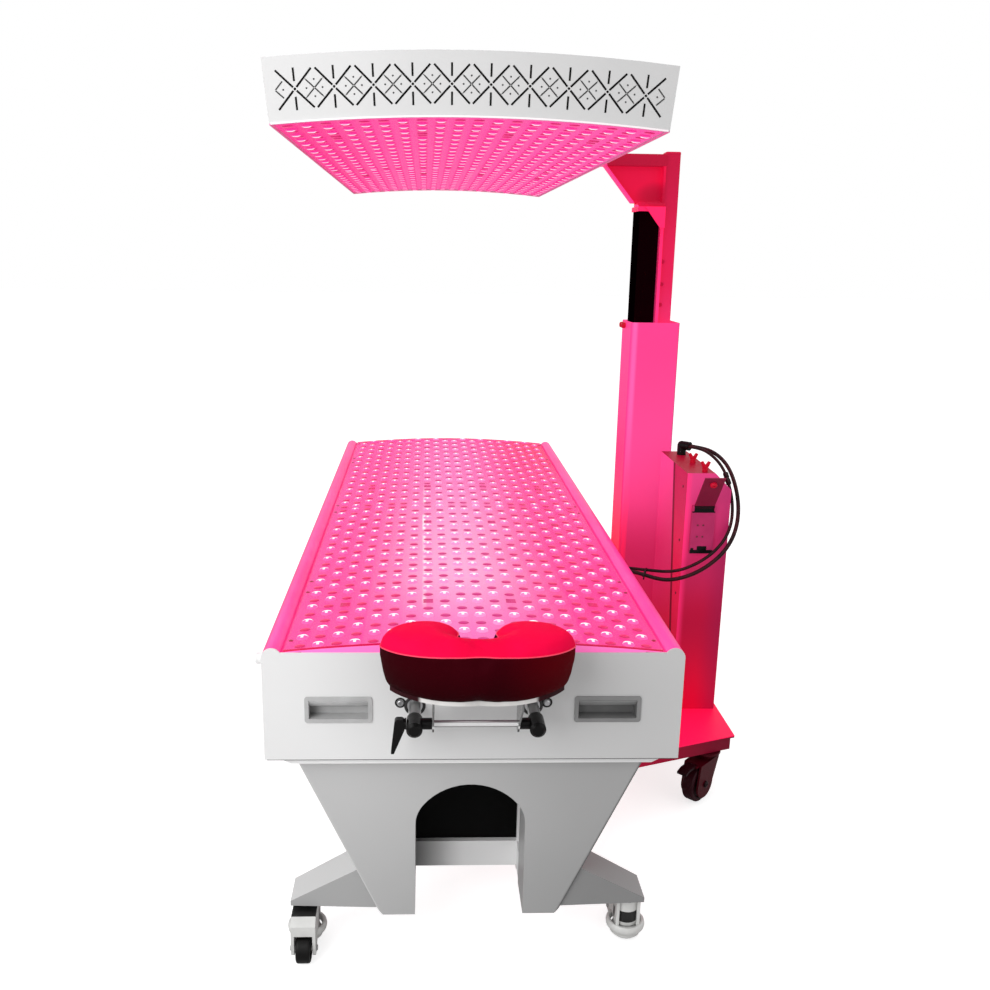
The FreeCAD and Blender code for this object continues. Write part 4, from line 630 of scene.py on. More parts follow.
def clear_sheet(name, end_strips):
    acrylic = Finish(name, roughness=0.12, Emission_Strength=0.3, Specular_IOR_Level=0.2)
    marks = acrylic.noise(9, 4.0, (1.0, 0.2, 1.0))
    clear = linear(255, 200, 226)
    acrylic.feed(Base_Color=clear, Emission_Color=BLACK, Alpha=CLEAR_ALPHA, Roughness=0.1 + marks * 0.12)
    if end_strips:
        # End strips: painted pink with a painted glow of the deck's light.
        solid = abs(acrylic.y) > 0.9675
        line = arch_radius(acrylic, BED_ARCH) > ARCH_RADIUS - 0.0022
        strip = acrylic.mix(line, linear(255, 116, 192), linear(196, 6, 68))
        acrylic.feed(Base_Color=acrylic.mix(solid, clear, strip), Alpha=solid.most(CLEAR_ALPHA))
        acrylic.feed(Emission_Color=acrylic.mix(solid, BLACK, strip))
    return acrylic


bed_acrylic = clear_sheet("bed_acrylic", True)
canopy_acrylic = clear_sheet("canopy_acrylic", False)
print("clear sheets ready")

# %% [markdown]
# Most solids keep their mesh and only take a finish. One table says which finish goes to which solids. A
# name that ends in an underscore stands for every solid whose name starts so, such as the four casters.

# %% Finishes onto the solids
FINISH_OF = {
    panel_coat: ("end_panels", "side_peg"),
    tray_coat: ("bed_tray",),
    canopy_coat: ("canopy_shell", "canopy_ends"),
    pedestal_coat: ("pedestal_covers",),
    foot_coat: ("outrigger_feet",),
    frame_coat: ("pedestal_frames",),
    rail_coat: ("side_rails",),
    black_plastic: ("post_caps", "cam_lever", "cable_glands", "canopy_fans"),
    black_panel: ("pedestal_back_panels",),
    pull_plastic: ("flush_pulls",),
    platform_plastic: ("cradle_platform",),
    red_plastic: ("wing_bolts",),
    flap_plastic: ("breaker_cover",),
    breaker_plastic: ("breaker_unit",),
    bed_tread: ("caster_wheel_",),
    stand_tread: ("stand_wheel_",),
    stage_black: ("lift_stage",),
    chrome: ("cradle_posts", "cradle_links"),
    steel: ("post_sockets", "lift_outer_stage", "led_drivers"),
    caster_paint: ("caster_frame_",),
    pad_rubber: ("caster_pad_",),
    fork_paint: ("stand_fork_",),
    pedal_plastic: ("brake_pedal_",),
    bed_board: ("bed_led_deck",),
    canopy_board: ("canopy_led_deck",),
}
FINISH_OF.update({coat: (node,) for node, coat in stand_coats.items()})


def dress(solid, finish):
    solid.data.materials.clear()
    solid.data.materials.append(finish.material)


for finish, starts in FINISH_OF.items():
    for name, solid in nodes.items():
        if name.startswith(starts):
            dress(solid, finish)
print("solids dressed")

# %% [markdown]
# ## Modelling helpers
# New pieces start from a primitive. It is added at its place, shaped in edit mode, and finished with
# modifiers. The helpers keep the selection clean, because an operator acts on everything that is selected.

# %% Modelling helpers
TO_FRONT, TO_LEFT, TO_TOP, TO_FLOOR = (0, -1, 0), (-1, 0, 0), (0, 0, 1), (0, 0, -1)


def alone(piece):
    """Make a piece the only selected one."""
    bpy.ops.object.select_all(action="DESELECT")
    piece.select_set(True)
    bpy.context.view_layer.objects.active = piece


def primitive(kind, name, **how):
    bpy.ops.object.select_all(action="DESELECT")
    getattr(bpy.ops.mesh, f"primitive_{kind}_add")(**how)
    piece = bpy.context.object
    piece.name = name
    alone(piece)
    bpy.ops.object.transform_apply()
    return piece


@contextmanager
def editing(piece, everything=False):
    """Edit mode for one piece, on the faces that are picked or on all of it."""
    alone(piece)
    bpy.ops.object.mode_set(mode="EDIT")
    bpy.ops.mesh.select_mode(type="FACE")
    if everything:
        bpy.ops.mesh.select_all(action="SELECT")
    yield
    bpy.ops.object.mode_set(mode="OBJECT")


def pick(piece, test):
    """Leave selected only the faces whose centre and normal pass a test."""
    mesh = piece.data
    for group in (mesh.vertices, mesh.edges):
        group.foreach_set("select", [False] * len(group))
    mesh.polygons.foreach_set("select", [test(face.center, face.normal) for face in mesh.polygons])


def modify(piece, kind, **settings):
    """Add a modifier and apply it."""
    alone(piece)
    modifier = piece.modifiers.new(kind.lower(), kind)
    for name, value in settings.items():
        setattr(modifier, name, value)
    bpy.ops.object.modifier_apply(modifier=modifier.name)


def bevel(piece, width, segments=2, **settings):
    """Round the sharp edges of a piece."""
    modify(piece, "BEVEL", width=width, segments=segments, limit_method="ANGLE", **settings)


def inset_face(piece, direction, thickness, rise=0.0):
    """Draw in the face that looks one way, and raise what is left of it."""
    outwards = Vector(direction)
    pick(piece, lambda centre, normal: normal.dot(outwards) > 0.9)
    with editing(piece):
        bpy.ops.mesh.inset(thickness=thickness)
        bpy.ops.transform.translate(value=outwards * rise)


def twin(source, name):
    """Copy of a piece with a mesh of its own, riding on nothing."""
    piece = source.copy()
    piece.data = source.data.copy()
    piece.name = name
    piece.parent = None
    for key in list(piece.keys()):
        del piece[key]
    bpy.context.scene.collection.objects.link(piece)
    return piece


def joined(name, pieces):
    bpy.ops.object.select_all(action="DESELECT")
    for piece in pieces:
        piece.select_set(True)
    bpy.context.view_layer.objects.active = pieces[0]
    if len(pieces) > 1:
        bpy.ops.object.join()
    pieces[0].name = name
    return pieces[0]


def complete(piece, body, finish, angle=35):
    """Give a piece its finish, its shading and the body it moves with."""
    alone(piece)
    bpy.ops.object.transform_apply()
    bpy.ops.object.shade_smooth_by_angle(angle=math.radians(angle))
    dress(piece, finish)
    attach(piece, body)
    return piece


def fitted(shape, name, spots, body, finish):
    """One piece from copies of a shape, each with its place and the direction of its Z axis."""
    copies = []
    for place, facing in spots:
        turn = facing.to_track_quat("Z", "Y").to_matrix().to_4x4()
        copy = twin(shape, name)
        copy.data.transform(Matrix.Translation(place) @ turn)
        copies.append(copy)
    bpy.data.objects.remove(shape)
    return complete(joined(name, copies), body, finish)


def slab(name, x, y, z):
    """Block between two X, two Y and two heights, in millimetres."""
    spans = (x, y, z)
    middle = spot(*(sum(span) / 2 for span in spans))
    size = [(high - low) / 1000 for low, high in spans]
    return primitive("cube", name, size=1, location=middle, scale=size)


print("modelling helpers ready")

# %% [markdown]
# ## Cords
# Two black cords leave the elbow on the power box, hang in a loop and go into the bed's side. Their routes
# are the ones that the solids follow, and a NURBS spline with the same control points gives a line with no
# corners.

# %% Cords
OUTER_ROUTE = (
    (632.6, 6.2, 835), (656.8, -18, 835), (675, -52, 832), (690, -87, 821),
    (700, -122, 803), (705, -155, 778), (707, -185, 748), (705, -211, 714),
    (697, -232, 678), (682, -247, 644), (660, -255, 613), (631, -258, 586),
    (598, -259, 564), (563, -258, 549), (529, -252, 540), (500, -240, 540),
    (473, -226, 545), (447, -216, 550), (421, -212, 552), (393, -212, 552),
)
INNER_ROUTE = (
    (624.8, -1.6, 835), (649.2, -26, 835), (666, -58, 828), (680, -91, 814),
    (689, -122, 795), (693, -151, 770), (695, -179, 741), (692, -205, 709),
    (684, -225, 677), (668, -239, 646), (645, -245, 618), (617, -246, 594),
    (585, -245, 575), (553, -240, 561), (521, -229, 555), (495, -214, 553),
    (470, -200, 551), (446, -190, 551), (421, -186, 551), (393, -186, 551),
)


def cord_sheath(name):
    """Matte black sheath with a slight waviness, reddened by the lamps."""
    sheath = Finish(name, roughness=0.45, Specular_IOR_Level=0.15)
    fine = sheath.noise(900, 2.0)
    broad = sheath.noise(25, 2.0).ramp(0.35, 0.65)
    tone = sheath.mix(broad, linear(26, 6, 10), linear(52, 10, 18))
    sheath.feed(Base_Color=tone, Roughness=0.38 + fine * 0.15)
    sheath.bump(fine, 0.0002)
    return sheath


sheath = cord_sheath("cord_sheath")


def route_curve(name, route):
    curve = bpy.data.curves.new(name, "CURVE")
    curve.dimensions = "3D"
    curve.resolution_u = 6
    line = curve.splines.new("NURBS")
    line.points.add(len(route) - 1)
    for point, place in zip(line.points, route):
        point.co = (*spot(*place), 1.0)
    line.order_u = 3
    line.use_endpoint_u = True
    piece = bpy.data.objects.new(f"{name}_sheath", curve)
    bpy.context.scene.collection.objects.link(piece)
    return piece


def route_points(piece):
    """Points along the spline itself, read before it is given a thickness."""
    bpy.context.view_layer.update()
    line = bpy.data.meshes.new_from_object(piece)
    points = [vertex.co.copy() for vertex in line.vertices]
    bpy.data.meshes.remove(line)
    return points


outer_cord = route_curve("cord_outer", OUTER_ROUTE)
inner_cord = route_curve("cord_inner", INNER_ROUTE)
outer_points, inner_points = route_points(outer_cord), route_points(inner_cord)
print(f"cords follow {len(outer_points)} and {len(inner_points)} points")

# %% [markdown]
# The thinner cord has an inline connector half way down its first bend, and a cable tie holds both cords
# together before they reach the bed. Both are turned to the cord's direction at the point where they sit.

# %% Connector and tie
BAND_RADIUS = 0.0062
connector_plastic = moulded("connector_plastic", (34, 4, 10), 0.35, shine=0.15)


def nearest(points, place):
    """Point of a cord nearest to a place, and the cord's direction there."""
    at = min(range(1, len(points) - 1), key=lambda index: (points[index] - place).length)
    return points[at], (points[at + 1] - points[at - 1]).normalized()


def connector():
    """Two sleeves with a waist between them, turned from a cylinder."""
    sleeve = primitive("cylinder", "sleeve", vertices=20, radius=0.0068, depth=0.034)
    for height in (0.003, -0.003):
        with editing(sleeve, everything=True):
            bpy.ops.mesh.bisect(plane_co=(0, 0, height), plane_no=(0, 0, 1))
    pick(sleeve, lambda centre, normal: abs(centre.z) < 0.002 and abs(normal.z) < 0.5)
    with editing(sleeve):
        bpy.ops.mesh.extrude_region_shrink_fatten(TRANSFORM_OT_shrink_fatten={"value": -0.0012})
    pick(sleeve, lambda centre, normal: abs(normal.z) > 0.9 and abs(centre.z) > 0.016)
    with editing(sleeve):
        bpy.ops.mesh.inset(thickness=0.0018)
    bevel(sleeve, 0.0006)
    place, heading = nearest(inner_points, spot(692, -140, 780))
    return fitted(sleeve, "cord_connector", [(place, heading)], ROOT, connector_plastic)


def cable_tie():
    """Flat band round both cords, with its lock and a short tail."""
    outer, heading = nearest(outer_points, spot(471, -225, 546))
    inner, _ = nearest(inner_points, outer)
    apart = inner - outer
    apart -= heading * apart.dot(heading)
    side = apart.normalized()
    up = heading.cross(side)
    size = {"vertices": 28, "radius": BAND_RADIUS, "depth": 0.004}
    band = primitive("cylinder", "tie_band", end_fill_type="NOTHING", **size)
    stretch = 1.0 + apart.length / 2 / BAND_RADIUS
    lock = primitive("cube", "tie_lock", size=1, location=(0, 0.0078, 0), scale=(0.0055, 0.0042, 0.006))
    tail = primitive("cube", "tie_tail", size=1, location=(0.001, 0.016, 0), scale=(0.0012, 0.016, 0.0036))
    with editing(band, everything=True):
        bpy.ops.transform.resize(value=(stretch, 1.0, 1.0))
    modify(band, "SOLIDIFY", thickness=0.0012, offset=1.0)
    for block in (lock, tail):
        bevel(block, 0.0005)
    tie = joined("cord_tie", [band, lock, tail])
    axes = Matrix((side, up, heading)).transposed().to_4x4()
    tie.data.transform(Matrix.Translation((outer + inner) / 2) @ axes)
    return complete(tie, ROOT, connector_plastic)


on_inner = connector()
on_outer = cable_tie()
print("connector and tie in place")

# %% [markdown]
# Last, the two splines get their thickness and closed ends. Each stands for its solid, which is hidden, and
# hangs between its two ends.

# %% Cord bodies
CORD_DIAMETERS = {"outer": 0.010, "inner": 0.008}


def flexible_cord(piece, node, diameter):
    curve = piece.data
    curve.bevel_depth = diameter / 2
    curve.bevel_resolution = 4
    curve.use_fill_caps = True
    curve.materials.append(sheath.material)
    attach(piece, ROOT)
    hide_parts(node)


flexible_cord(outer_cord, "cord_outer", CORD_DIAMETERS["outer"])
flexible_cord(inner_cord, "cord_inner", CORD_DIAMETERS["inner"])
print("cords hung")

# %% [markdown]
# ## Clear sheets
# In the solids each clear sheet lies flush on its board, and two faces in one place flicker in a render. So
# each sheet is copied, drawn in by a fifth of a millimetre, given polished edges with a Bevel modifier, and
# stands for its solid.


# %% Sheet pieces
def thin_sheet(node, body, finish):
    sheet = twin(nodes[node], f"{node}_sheet")
    with editing(sheet, everything=True):
        bpy.ops.mesh.remove_doubles(threshold=0.00005)
        bpy.ops.mesh.normals_make_consistent(inside=False)
        bpy.ops.transform.shrink_fatten(value=-0.0002)
    bevel(sheet, 0.0006, angle_limit=math.radians(40))
    complete(sheet, body, finish)
    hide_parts(node)
    print(f"{sheet.name}: {len(sheet.data.polygons)} faces")


thin_sheet("bed_clear_cover", ROOT, bed_acrylic)
thin_sheet("canopy_clear_cover", LIFT, canopy_acrylic)

# %% [markdown]
# ## Light emitters
# Each deck holds modules of five columns by twenty-five rows, with lit and unlit lenses in turn and a small
# louvre at two places of each module. One lens is modelled, with few faces because it is repeated a
# thousand times. An Array modifier that turns about the arch's centre makes a row, and a second one along
# the bed makes the columns.
#
# From the camera a lit lens looks like a small umbrella: its far half is white and its near half shows the
# board's pink with a bright core. A UV map that holds each lens's own x and y lets one finish draw this on
# every lens.


# %% Lens finishes
def lens_finish(name, shade, strength):
    lens = Finish(name, roughness=0.3, Emission_Strength=strength, Specular_IOR_Level=0.15)
    flat = lens.node("UVMap", {"uv_map": "lens"})
    u, v, _ = lens.parts(flat)
    tone = shade(lens, u, v)
    lens.feed(Base_Color=lens.mix(0.8, tone, BLACK), Emission_Color=tone)
    return lens


def umbrella(lens, u, v):
    """White far half like an umbrella's canopy, a bright stem below it and a pink near half."""
    side = abs(u)
    canopy = (v - side * 0.08).ramp(-0.06, 0.10)
    stem = (1 - side.ramp(0.14, 0.30)) * v.ramp(-0.75, -0.50)
    middle = 1 - abs(lens.x).ramp(0.02, 0.22)
    near = lens.mix(middle, linear(255, 92, 174), linear(255, 146, 206))
    return lens.mix(canopy.most(stem), near, linear(255, 252, 254))


def unlit(lens, u, v):
    """Deep pink ellipse with a darker rim, painted lighter in the pale middle of the bed."""
    middle = 1 - abs(lens.x).ramp(0.02, 0.22)
    tone = lens.mix(middle, linear(230, 18, 100), linear(210, 54, 134))
    rim = (u * u + v * v).ramp(0.45, 0.9)
    return lens.mix(rim * 0.6, tone, linear(186, 8, 82))


def dash(lens, u, v):
    """Short white dash in a pink lens with a deeper rim, as the canopy's lenses look from below."""
    core = (1 - abs(v).ramp(0.22, 0.40)) * (1 - abs(u).ramp(0.55, 0.80))
    rim = (u * u + v * v).ramp(0.35, 0.85)
    return lens.mix(core, lens.mix(rim, linear(255, 112, 188), linear(248, 40, 144)), linear(255, 250, 253))


def shaded(lens, u, v):
    """Unlit lens of the canopy, deeper than its board."""
    return lens.mix((u * u + v * v).ramp(0.3, 0.9), linear(232, 26, 118), linear(206, 12, 96))


lit_lens = lens_finish("lit_lens", umbrella, 0.95)
canopy_lens = lens_finish("canopy_lens", dash, 0.95)
# The unlit lenses are given a glow too: painted light.
dark_lens = lens_finish("dark_lens", unlit, 0.9)
shaded_lens = lens_finish("shaded_lens", shaded, 0.9)
print("lens finishes ready")

# %% Lens shapes
LIT_RADIUS, DARK_RADIUS = 0.0112, 0.0102
LENS_SIDES = 12


def upright(name, sides, radius, height):
    """Cylinder that stands on the floor of its own frame."""
    size = {"vertices": sides, "radius": radius, "depth": height}
    return primitive("cylinder", name, location=(0, 0, height / 2), **size)


def lens_map(piece):
    """Give a piece one empty UV map for its lens finish."""
    for layer in list(piece.data.uv_layers):
        piece.data.uv_layers.remove(layer)
    return piece.data.uv_layers.new(name="lens")


def lens_shape(name, radius, height, depth):
    """A low dome of few faces, with its own x and y as UVs."""
    dome = upright(name, LENS_SIDES, radius, height)
    pick(dome, lambda centre, normal: normal.z < -0.5)
    with editing(dome):
        bpy.ops.mesh.delete(type="FACE")
    pick(dome, lambda centre, normal: normal.z > 0.5)
    with editing(dome):
        bpy.ops.transform.resize(value=(0.86, 0.86, 1.0))
        bpy.ops.mesh.inset(thickness=radius * 0.40)
        bpy.ops.transform.translate(value=(0, 0, height * 0.5))
        bpy.ops.mesh.select_all(action="SELECT")
        bpy.ops.transform.resize(value=(1.0, depth, 1.0))
    flat = lens_map(dome)
    for corner in dome.data.loops:
        place = dome.data.vertices[corner.vertex_index].co
        flat.data[corner.index].uv = (place.x / radius, place.y / radius / depth)
    return dome


def louvre_shape(name, radius, height):
    """Three short bars side by side."""
    bars = []
    for step in (-1, 0, 1):
        size = (radius * 1.9, radius * 0.32, height)
        place = (0, step * radius * 0.7, height / 2)
        bar = primitive("cube", f"{name}_{step}", size=1, location=place, scale=size)
        bevel(bar, 0.0004, segments=1)
        lens_map(bar)
        bars.append(bar)
    return joined(name, bars)


SHAPES = {
    "lit": lens_shape("lit_shape", LIT_RADIUS, 0.0030, 1.0),
    "dark": lens_shape("dark_shape", DARK_RADIUS, 0.0012, 0.8),
    "louvre": louvre_shape("louvre_shape", DARK_RADIUS, 0.0016),
}
print({kind: len(shape.data.polygons) for kind, shape in SHAPES.items()})

# %% Lens arrays
BED_PITCH, CANOPY_PITCH = 0.0326, 0.0335
ROW_PITCH = 0.0389
BED_MIDDLE, CANOPY_MIDDLE = 0.0, 0.191
LENS_SINK = 0.002
COLUMNS, ROWS = 5, 25
MODULES_ACROSS, MODULES_ALONG = 4, 2
LOUVRE_CELLS = ((5, 2), (20, 2))


def cell_kind(row, column):
    if (row, column) in LOUVRE_CELLS:
        return "louvre"
    return "lit" if (row + column) % 2 else "dark"


def at_cell(shape, turn, along, radius, flip):
    """Copy of a shape at one cell of the deck, measured from the arch's centre."""
    piece = twin(shape, "cell")
    piece.data.transform(Matrix.Rotation(math.pi if flip else 0.0, 4, "Y"))
    piece.data.transform(Matrix.Translation((0, along, radius)))
    piece.data.transform(Matrix.Rotation(turn, 4, "Y"))
    return piece


def repeated(piece, centre, turn_step, turns, along_step, count):
    """Repeat a piece about the arch's centre and along the deck."""
    piece.location = centre
    hub = bpy.data.objects.new("array_hub", None)
    bpy.context.scene.collection.objects.link(hub)
    hub.location = centre
    hub.rotation_euler = (0, turn_step, 0)
    bpy.context.view_layer.update()
    about = {"use_object_offset": True, "offset_object": hub}
    along = {"use_constant_offset": True, "constant_offset_displace": (0, along_step, 0)}
    for number, offset in ((turns, about), (count, along)):
        modify(piece, "ARRAY", count=number, use_relative_offset=False, **offset)
    bpy.data.objects.remove(hub)


def lens_field(deck, body, arch, middle_y, radius, pitch, flip, finishes):
    """One module of lenses, repeated over a deck."""
    turn_step = pitch / radius
    first_turn = -(COLUMNS * MODULES_ACROSS - 1) / 2 * turn_step
    first_row = -(ROWS * MODULES_ALONG - 1) / 2 * ROW_PITCH
    centre = Vector((arch[0], middle_y, arch[1])) - ORIGIN
    cells = {kind: [] for kind in SHAPES}
    for row in range(ROWS):
        for column in range(COLUMNS):
            kind = cell_kind(row, column)
            turn = first_turn + column * turn_step
            cells[kind].append(at_cell(SHAPES[kind], turn, first_row + row * ROW_PITCH, radius, flip))
    for kind, copies in cells.items():
        field = joined(f"{deck}_{kind}_lenses", copies)
        repeated(field, centre, COLUMNS * turn_step, MODULES_ACROSS, ROWS * ROW_PITCH, MODULES_ALONG)
        complete(field, body, finishes[kind != "lit"], 50)
        print(f"{field.name}: {len(field.data.polygons)} faces")


BED_LENSES, CANOPY_LENSES = (lit_lens, dark_lens), (canopy_lens, shaded_lens)
BED_FACE, CANOPY_FACE = ARCH_RADIUS - LENS_SINK, ARCH_RADIUS + LENS_SINK
lens_field("bed", ROOT, BED_ARCH, BED_MIDDLE, BED_FACE, BED_PITCH, False, BED_LENSES)
lens_field("canopy", LIFT, CANOPY_ARCH, CANOPY_MIDDLE, CANOPY_FACE, CANOPY_PITCH, True, CANOPY_LENSES)
for shape in SHAPES.values():
    bpy.data.objects.remove(shape)

# %% [markdown]
# ## Face cushion
# The cushion is a foam crescent in a soft cover, crimson on top and dark at the sides, with a piped seam
# between. Its solid is remeshed to an even grid and blown up a little by a cloth simulation, so that the
# cover looks filled. Its lower rim is then drawn down, because the soft cover hangs over the edge of its
# board, its front is filled out and its two lobes are brought closer together.

# %% Cushion finish
SEAM_MIDDLE, SEAM_FALL = 0.717, 0.46


def seam_height(x):
    """Height of the seam: it falls from the middle of the cushion towards its sides."""
    return SEAM_MIDDLE - x * x * SEAM_FALL


def cushion_cover(name):
    """Soft cover: crimson above the seam, dark below, with a fine weave and puckers along the seam. Painted
    shade darkens the middle of the top and the lower part of the sides.
    """
    cover = Finish(name, roughness=0.62, Specular_IOR_Level=0.02)
    weave = cover.noise(1500, 2.0)
    crease = cover.noise(28, 3.0)
    above = cover.z + cover.x * cover.x * SEAM_FALL - SEAM_MIDDLE
    pucker = cover.noise(70, 2.0, (1.0, 1.0, 0.25)) * (1 - abs(above).ramp(0.0, 0.014))
    top = (above + (crease - 0.5) * 0.001).ramp(-0.0008, 0.0008)
    side = cover.along(cover.x, (-0.16, (48, 0, 6)), (0.02, (52, 0, 8)), (0.16, (92, 0, 10)))
    low = cover.mix((1 - cover.z.ramp(0.635, 0.700)) * 0.35, side, BLACK)
    crimson = cover.mix(crease, linear(244, 6, 64), linear(250, 10, 74))
    shade = cover.mix((1 - abs(cover.x).ramp(0.02, 0.06)) * 0.25, crimson, linear(200, 4, 44))
    cover.feed(Base_Color=cover.mix(top, low, shade), Roughness=0.55 + weave * 0.15)
    cover.bump(weave * 0.3 + crease * 1.5 + pucker * 3.0, 0.0008)
    return cover


cover = cushion_cover("cushion_cover")
piping_red = moulded("piping_red", (255, 56, 92), 0.5, 900)
print("cushion finish ready")

# %% Cushion body
SHRINK = 0.003
SWELL_LIMIT = 0.005
VOXEL = 0.005
PRESSURE, CLOTH_FRAMES = 4.0, 20
OVERHANG, NOTCH_SHIFT, FRONT_PUSH = 0.0065, 0.007, 0.006


def share(value, start, end):
    """0 at start and before it, 1 at end and beyond."""
    return min(max((value - start) / (end - start), 0.0), 1.0)


def cushion():
    pad = twin(nodes["cradle_cushion"], "face_cushion")
    with editing(pad, everything=True):
        bpy.ops.mesh.remove_doubles(threshold=0.0002)
        bpy.ops.transform.shrink_fatten(value=-SHRINK)
    modify(pad, "REMESH", mode="VOXEL", voxel_size=VOXEL)
    start = [vertex.co.copy() for vertex in pad.data.vertices]
    alone(pad)
    cloth = pad.modifiers.new("filling", "CLOTH")
    cloth.settings.use_pressure = True
    cloth.settings.uniform_pressure_force = PRESSURE
    cloth.settings.effector_weights.gravity = 0.0
    for step in range(1, CLOTH_FRAMES + 1):
        bpy.context.scene.frame_set(step)
    bpy.ops.object.modifier_apply(modifier=cloth.name)
    bpy.context.scene.frame_set(1)
    for vertex, old in zip(pad.data.vertices, start):
        swell = vertex.co - old
        if swell.length > SWELL_LIMIT:
            vertex.co = old + swell.normalized() * SWELL_LIMIT
    for vertex in pad.data.vertices:
        x, y, z = vertex.co + ORIGIN
        lobe = share(y, -1.075, -1.045) * share(abs(x), 0.095, 0.035)
        front = share(y, -1.105, -1.135) * share(abs(x), 0.045, 0.0)
        low = share(z, 0.700, 0.640)
        inwards = -math.copysign(lobe * NOTCH_SHIFT, x)
        vertex.co += Vector((inwards, -front * FRONT_PUSH, -low * OVERHANG))
    modify(pad, "SMOOTH", factor=0.5, iterations=4)
    modify(pad, "SUBSURF", levels=1, render_levels=1)
    complete(pad, "cradle_head", cover, 180)
    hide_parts("cradle_cushion")
    return pad


face_cushion = cushion()
print(f"cushion has {len(face_cushion.data.polygons)} faces")

# %% [markdown]
# The piping is the cushion's own outline at the height of the seam. The seam falls towards the sides, so a
# copy of the cushion is levelled by that fall, cut with a flat plane, turned into a thin cord and raised
# again.

# %% Piped seam
PIPING_RADIUS = 0.0012


def piped_seam(pad):
    """Cut the cushion's line at the seam's height and turn it into a thin cord."""
    seam = twin(pad, "cushion_piping")
    for vertex in seam.data.vertices:
        vertex.co.z -= seam_height(vertex.co.x + ORIGIN.x)
    with editing(seam, everything=True):
        cut = {"plane_co": (0, 0, 0), "plane_no": (0, 0, 1), "threshold": 1e-6}
        bpy.ops.mesh.bisect(clear_inner=True, clear_outer=True, **cut)
    alone(seam)
    bpy.ops.object.convert(target="CURVE")
    seam.data.bevel_depth = PIPING_RADIUS
    seam.data.bevel_resolution = 2
    bpy.ops.object.convert(target="MESH")
    for vertex in seam.data.vertices:
        vertex.co.z += seam_height(vertex.co.x + ORIGIN.x)
    return complete(seam, "cradle_head", piping_red, 60)


piping = piped_seam(face_cushion)
print(f"piping has {len(piping.data.polygons)} faces")

# %% [markdown]
# ## Screws, rings and washers
# Small round fittings are modelled once, facing up, and copied to where the photograph shows them. A screw
# head is a cylinder whose top is inset and pushed in for the drive. A ring is a flattened torus.


# %% Screws and rings
def screw_shape(radius, height, recess, sides):
    head = upright("screw", sides, radius, height)
    pick(head, lambda centre, normal: normal.z > 0.9)
    with editing(head):
        bpy.ops.mesh.inset(thickness=radius * 0.25)
        bpy.ops.transform.translate(value=(0, 0, height * 0.25))
        bpy.ops.mesh.inset(thickness=radius * 0.35)
        bpy.ops.mesh.extrude_region_move(TRANSFORM_OT_translate={"value": (0, 0, -recess)})
    bevel(head, radius * 0.06, segments=1)
    return head


def ring_shape(radius, section, flatten):
    size = {"major_radius": radius, "minor_radius": section}
    ring = primitive("torus", "ring", major_segments=32, minor_segments=10, **size)
    with editing(ring, everything=True):
        bpy.ops.transform.resize(value=(1, 1, flatten))
    return ring


def many(shape, name, places, facing, body, finish):
    """Copies of a shape at places in millimetres, all facing one way."""
    spots = [(spot(*place), Vector(facing)) for place in places]
    return fitted(shape, name, spots, body, finish)


GROMMET, WASHER = (0.0165, 0.0028, 0.7), (0.0082, 0.0017, 0.7)
deck_red = moulded("deck_screw_red", (176, 6, 58), 0.4)
dark_metal = moulded("dark_metal", (40,), 0.35, shine=0.15)
rubber = moulded("grommet_rubber", (24, 23, 23), 0.5)
BOLTS = [(side * 131, -975, 557) for side in (-1, 1)]
POSTS = [(side * 105, -975, 551) for side in (-1, 1)]
# The grommets are dark: a painted shade line where each post meets the panel.
many(ring_shape(*GROMMET), "post_grommets", POSTS, TO_FRONT, ROOT, rubber)
many(ring_shape(*WASHER), "bolt_washers", BOLTS, TO_FRONT, ROOT, dark_metal)
print(f"{len(POSTS)} grommets and {len(BOLTS)} washers in place")

# %% [markdown]
# The clear sheet of the bed is held by small screws along both rails. Each one goes down on the sheet's
# surface, so its height follows from the arch.

# %% Deck screws
DECK_SCREW = (0.0042, 0.0010, 0.0008, 12)
SCREW_X = 328
SCREW_Y = [-928, 928] + [row * 637 + pair * 34 for row in (-1, 0, 1) for pair in (-1, 1)]
screw_z = (BED_ARCH[1] + math.sqrt(ARCH_RADIUS**2 - (SCREW_X / 1000) ** 2)) * 1000
SCREWS = [(side * SCREW_X, y, screw_z - 0.3) for side in (-1, 1) for y in SCREW_Y]
many(screw_shape(*DECK_SCREW), "deck_screws", SCREWS, TO_TOP, ROOT, deck_red)
print(f"{len(SCREWS)} deck screws at height {screw_z:.1f} mm")

# %% [markdown]
# ## Stand fittings
# Screws hold the power box together, three bolts hold the post, and two red thumb screws lock the column's
# top. They share one screw shape at different sizes.

# %% Stand fittings
stand_red = moulded("stand_fitting_red", (206, 6, 50), 0.35, shine=0.2)
stand_dark = moulded("stand_fitting_dark", (92, 6, 30), 0.4)
post_red = powder_coat("post_fitting_red", lambda coat: linear(178, 14, 60), **STAND_COAT)
BOX_SCREW, POST_BOLT = (0.0035, 0.0012, 0.0008, 12), (0.0060, 0.0040, 0.0015, 12)
THUMB_SCREW, FLAP_LATCH = (0.0080, 0.0090, 0.0015, 14), (0.0085, 0.0060, 0.0020, 18)
BOX_SCREWS = [(567, -184, z) for z in (768, 626, 482)]
POST_BOLTS = [(563, 175, z) for z in (1203, 1259, 1320)]
THUMB_SCREWS = [(477, y, 1143) for y in (238, 212)]
many(screw_shape(*BOX_SCREW), "box_screws", BOX_SCREWS, TO_LEFT, ROOT, stand_dark)
many(screw_shape(*POST_BOLT), "post_bolts", POST_BOLTS, TO_FRONT, LIFT, post_red)
many(screw_shape(*THUMB_SCREW), "thumb_screws", THUMB_SCREWS, TO_LEFT, ROOT, stand_red)
print("stand fittings in place")

# %% [markdown]
# A foot plate closes the gap between the arm's triangular web and the bracket below it, and a rounded cap
# closes the top of the post. Both are blocks with bevelled edges.

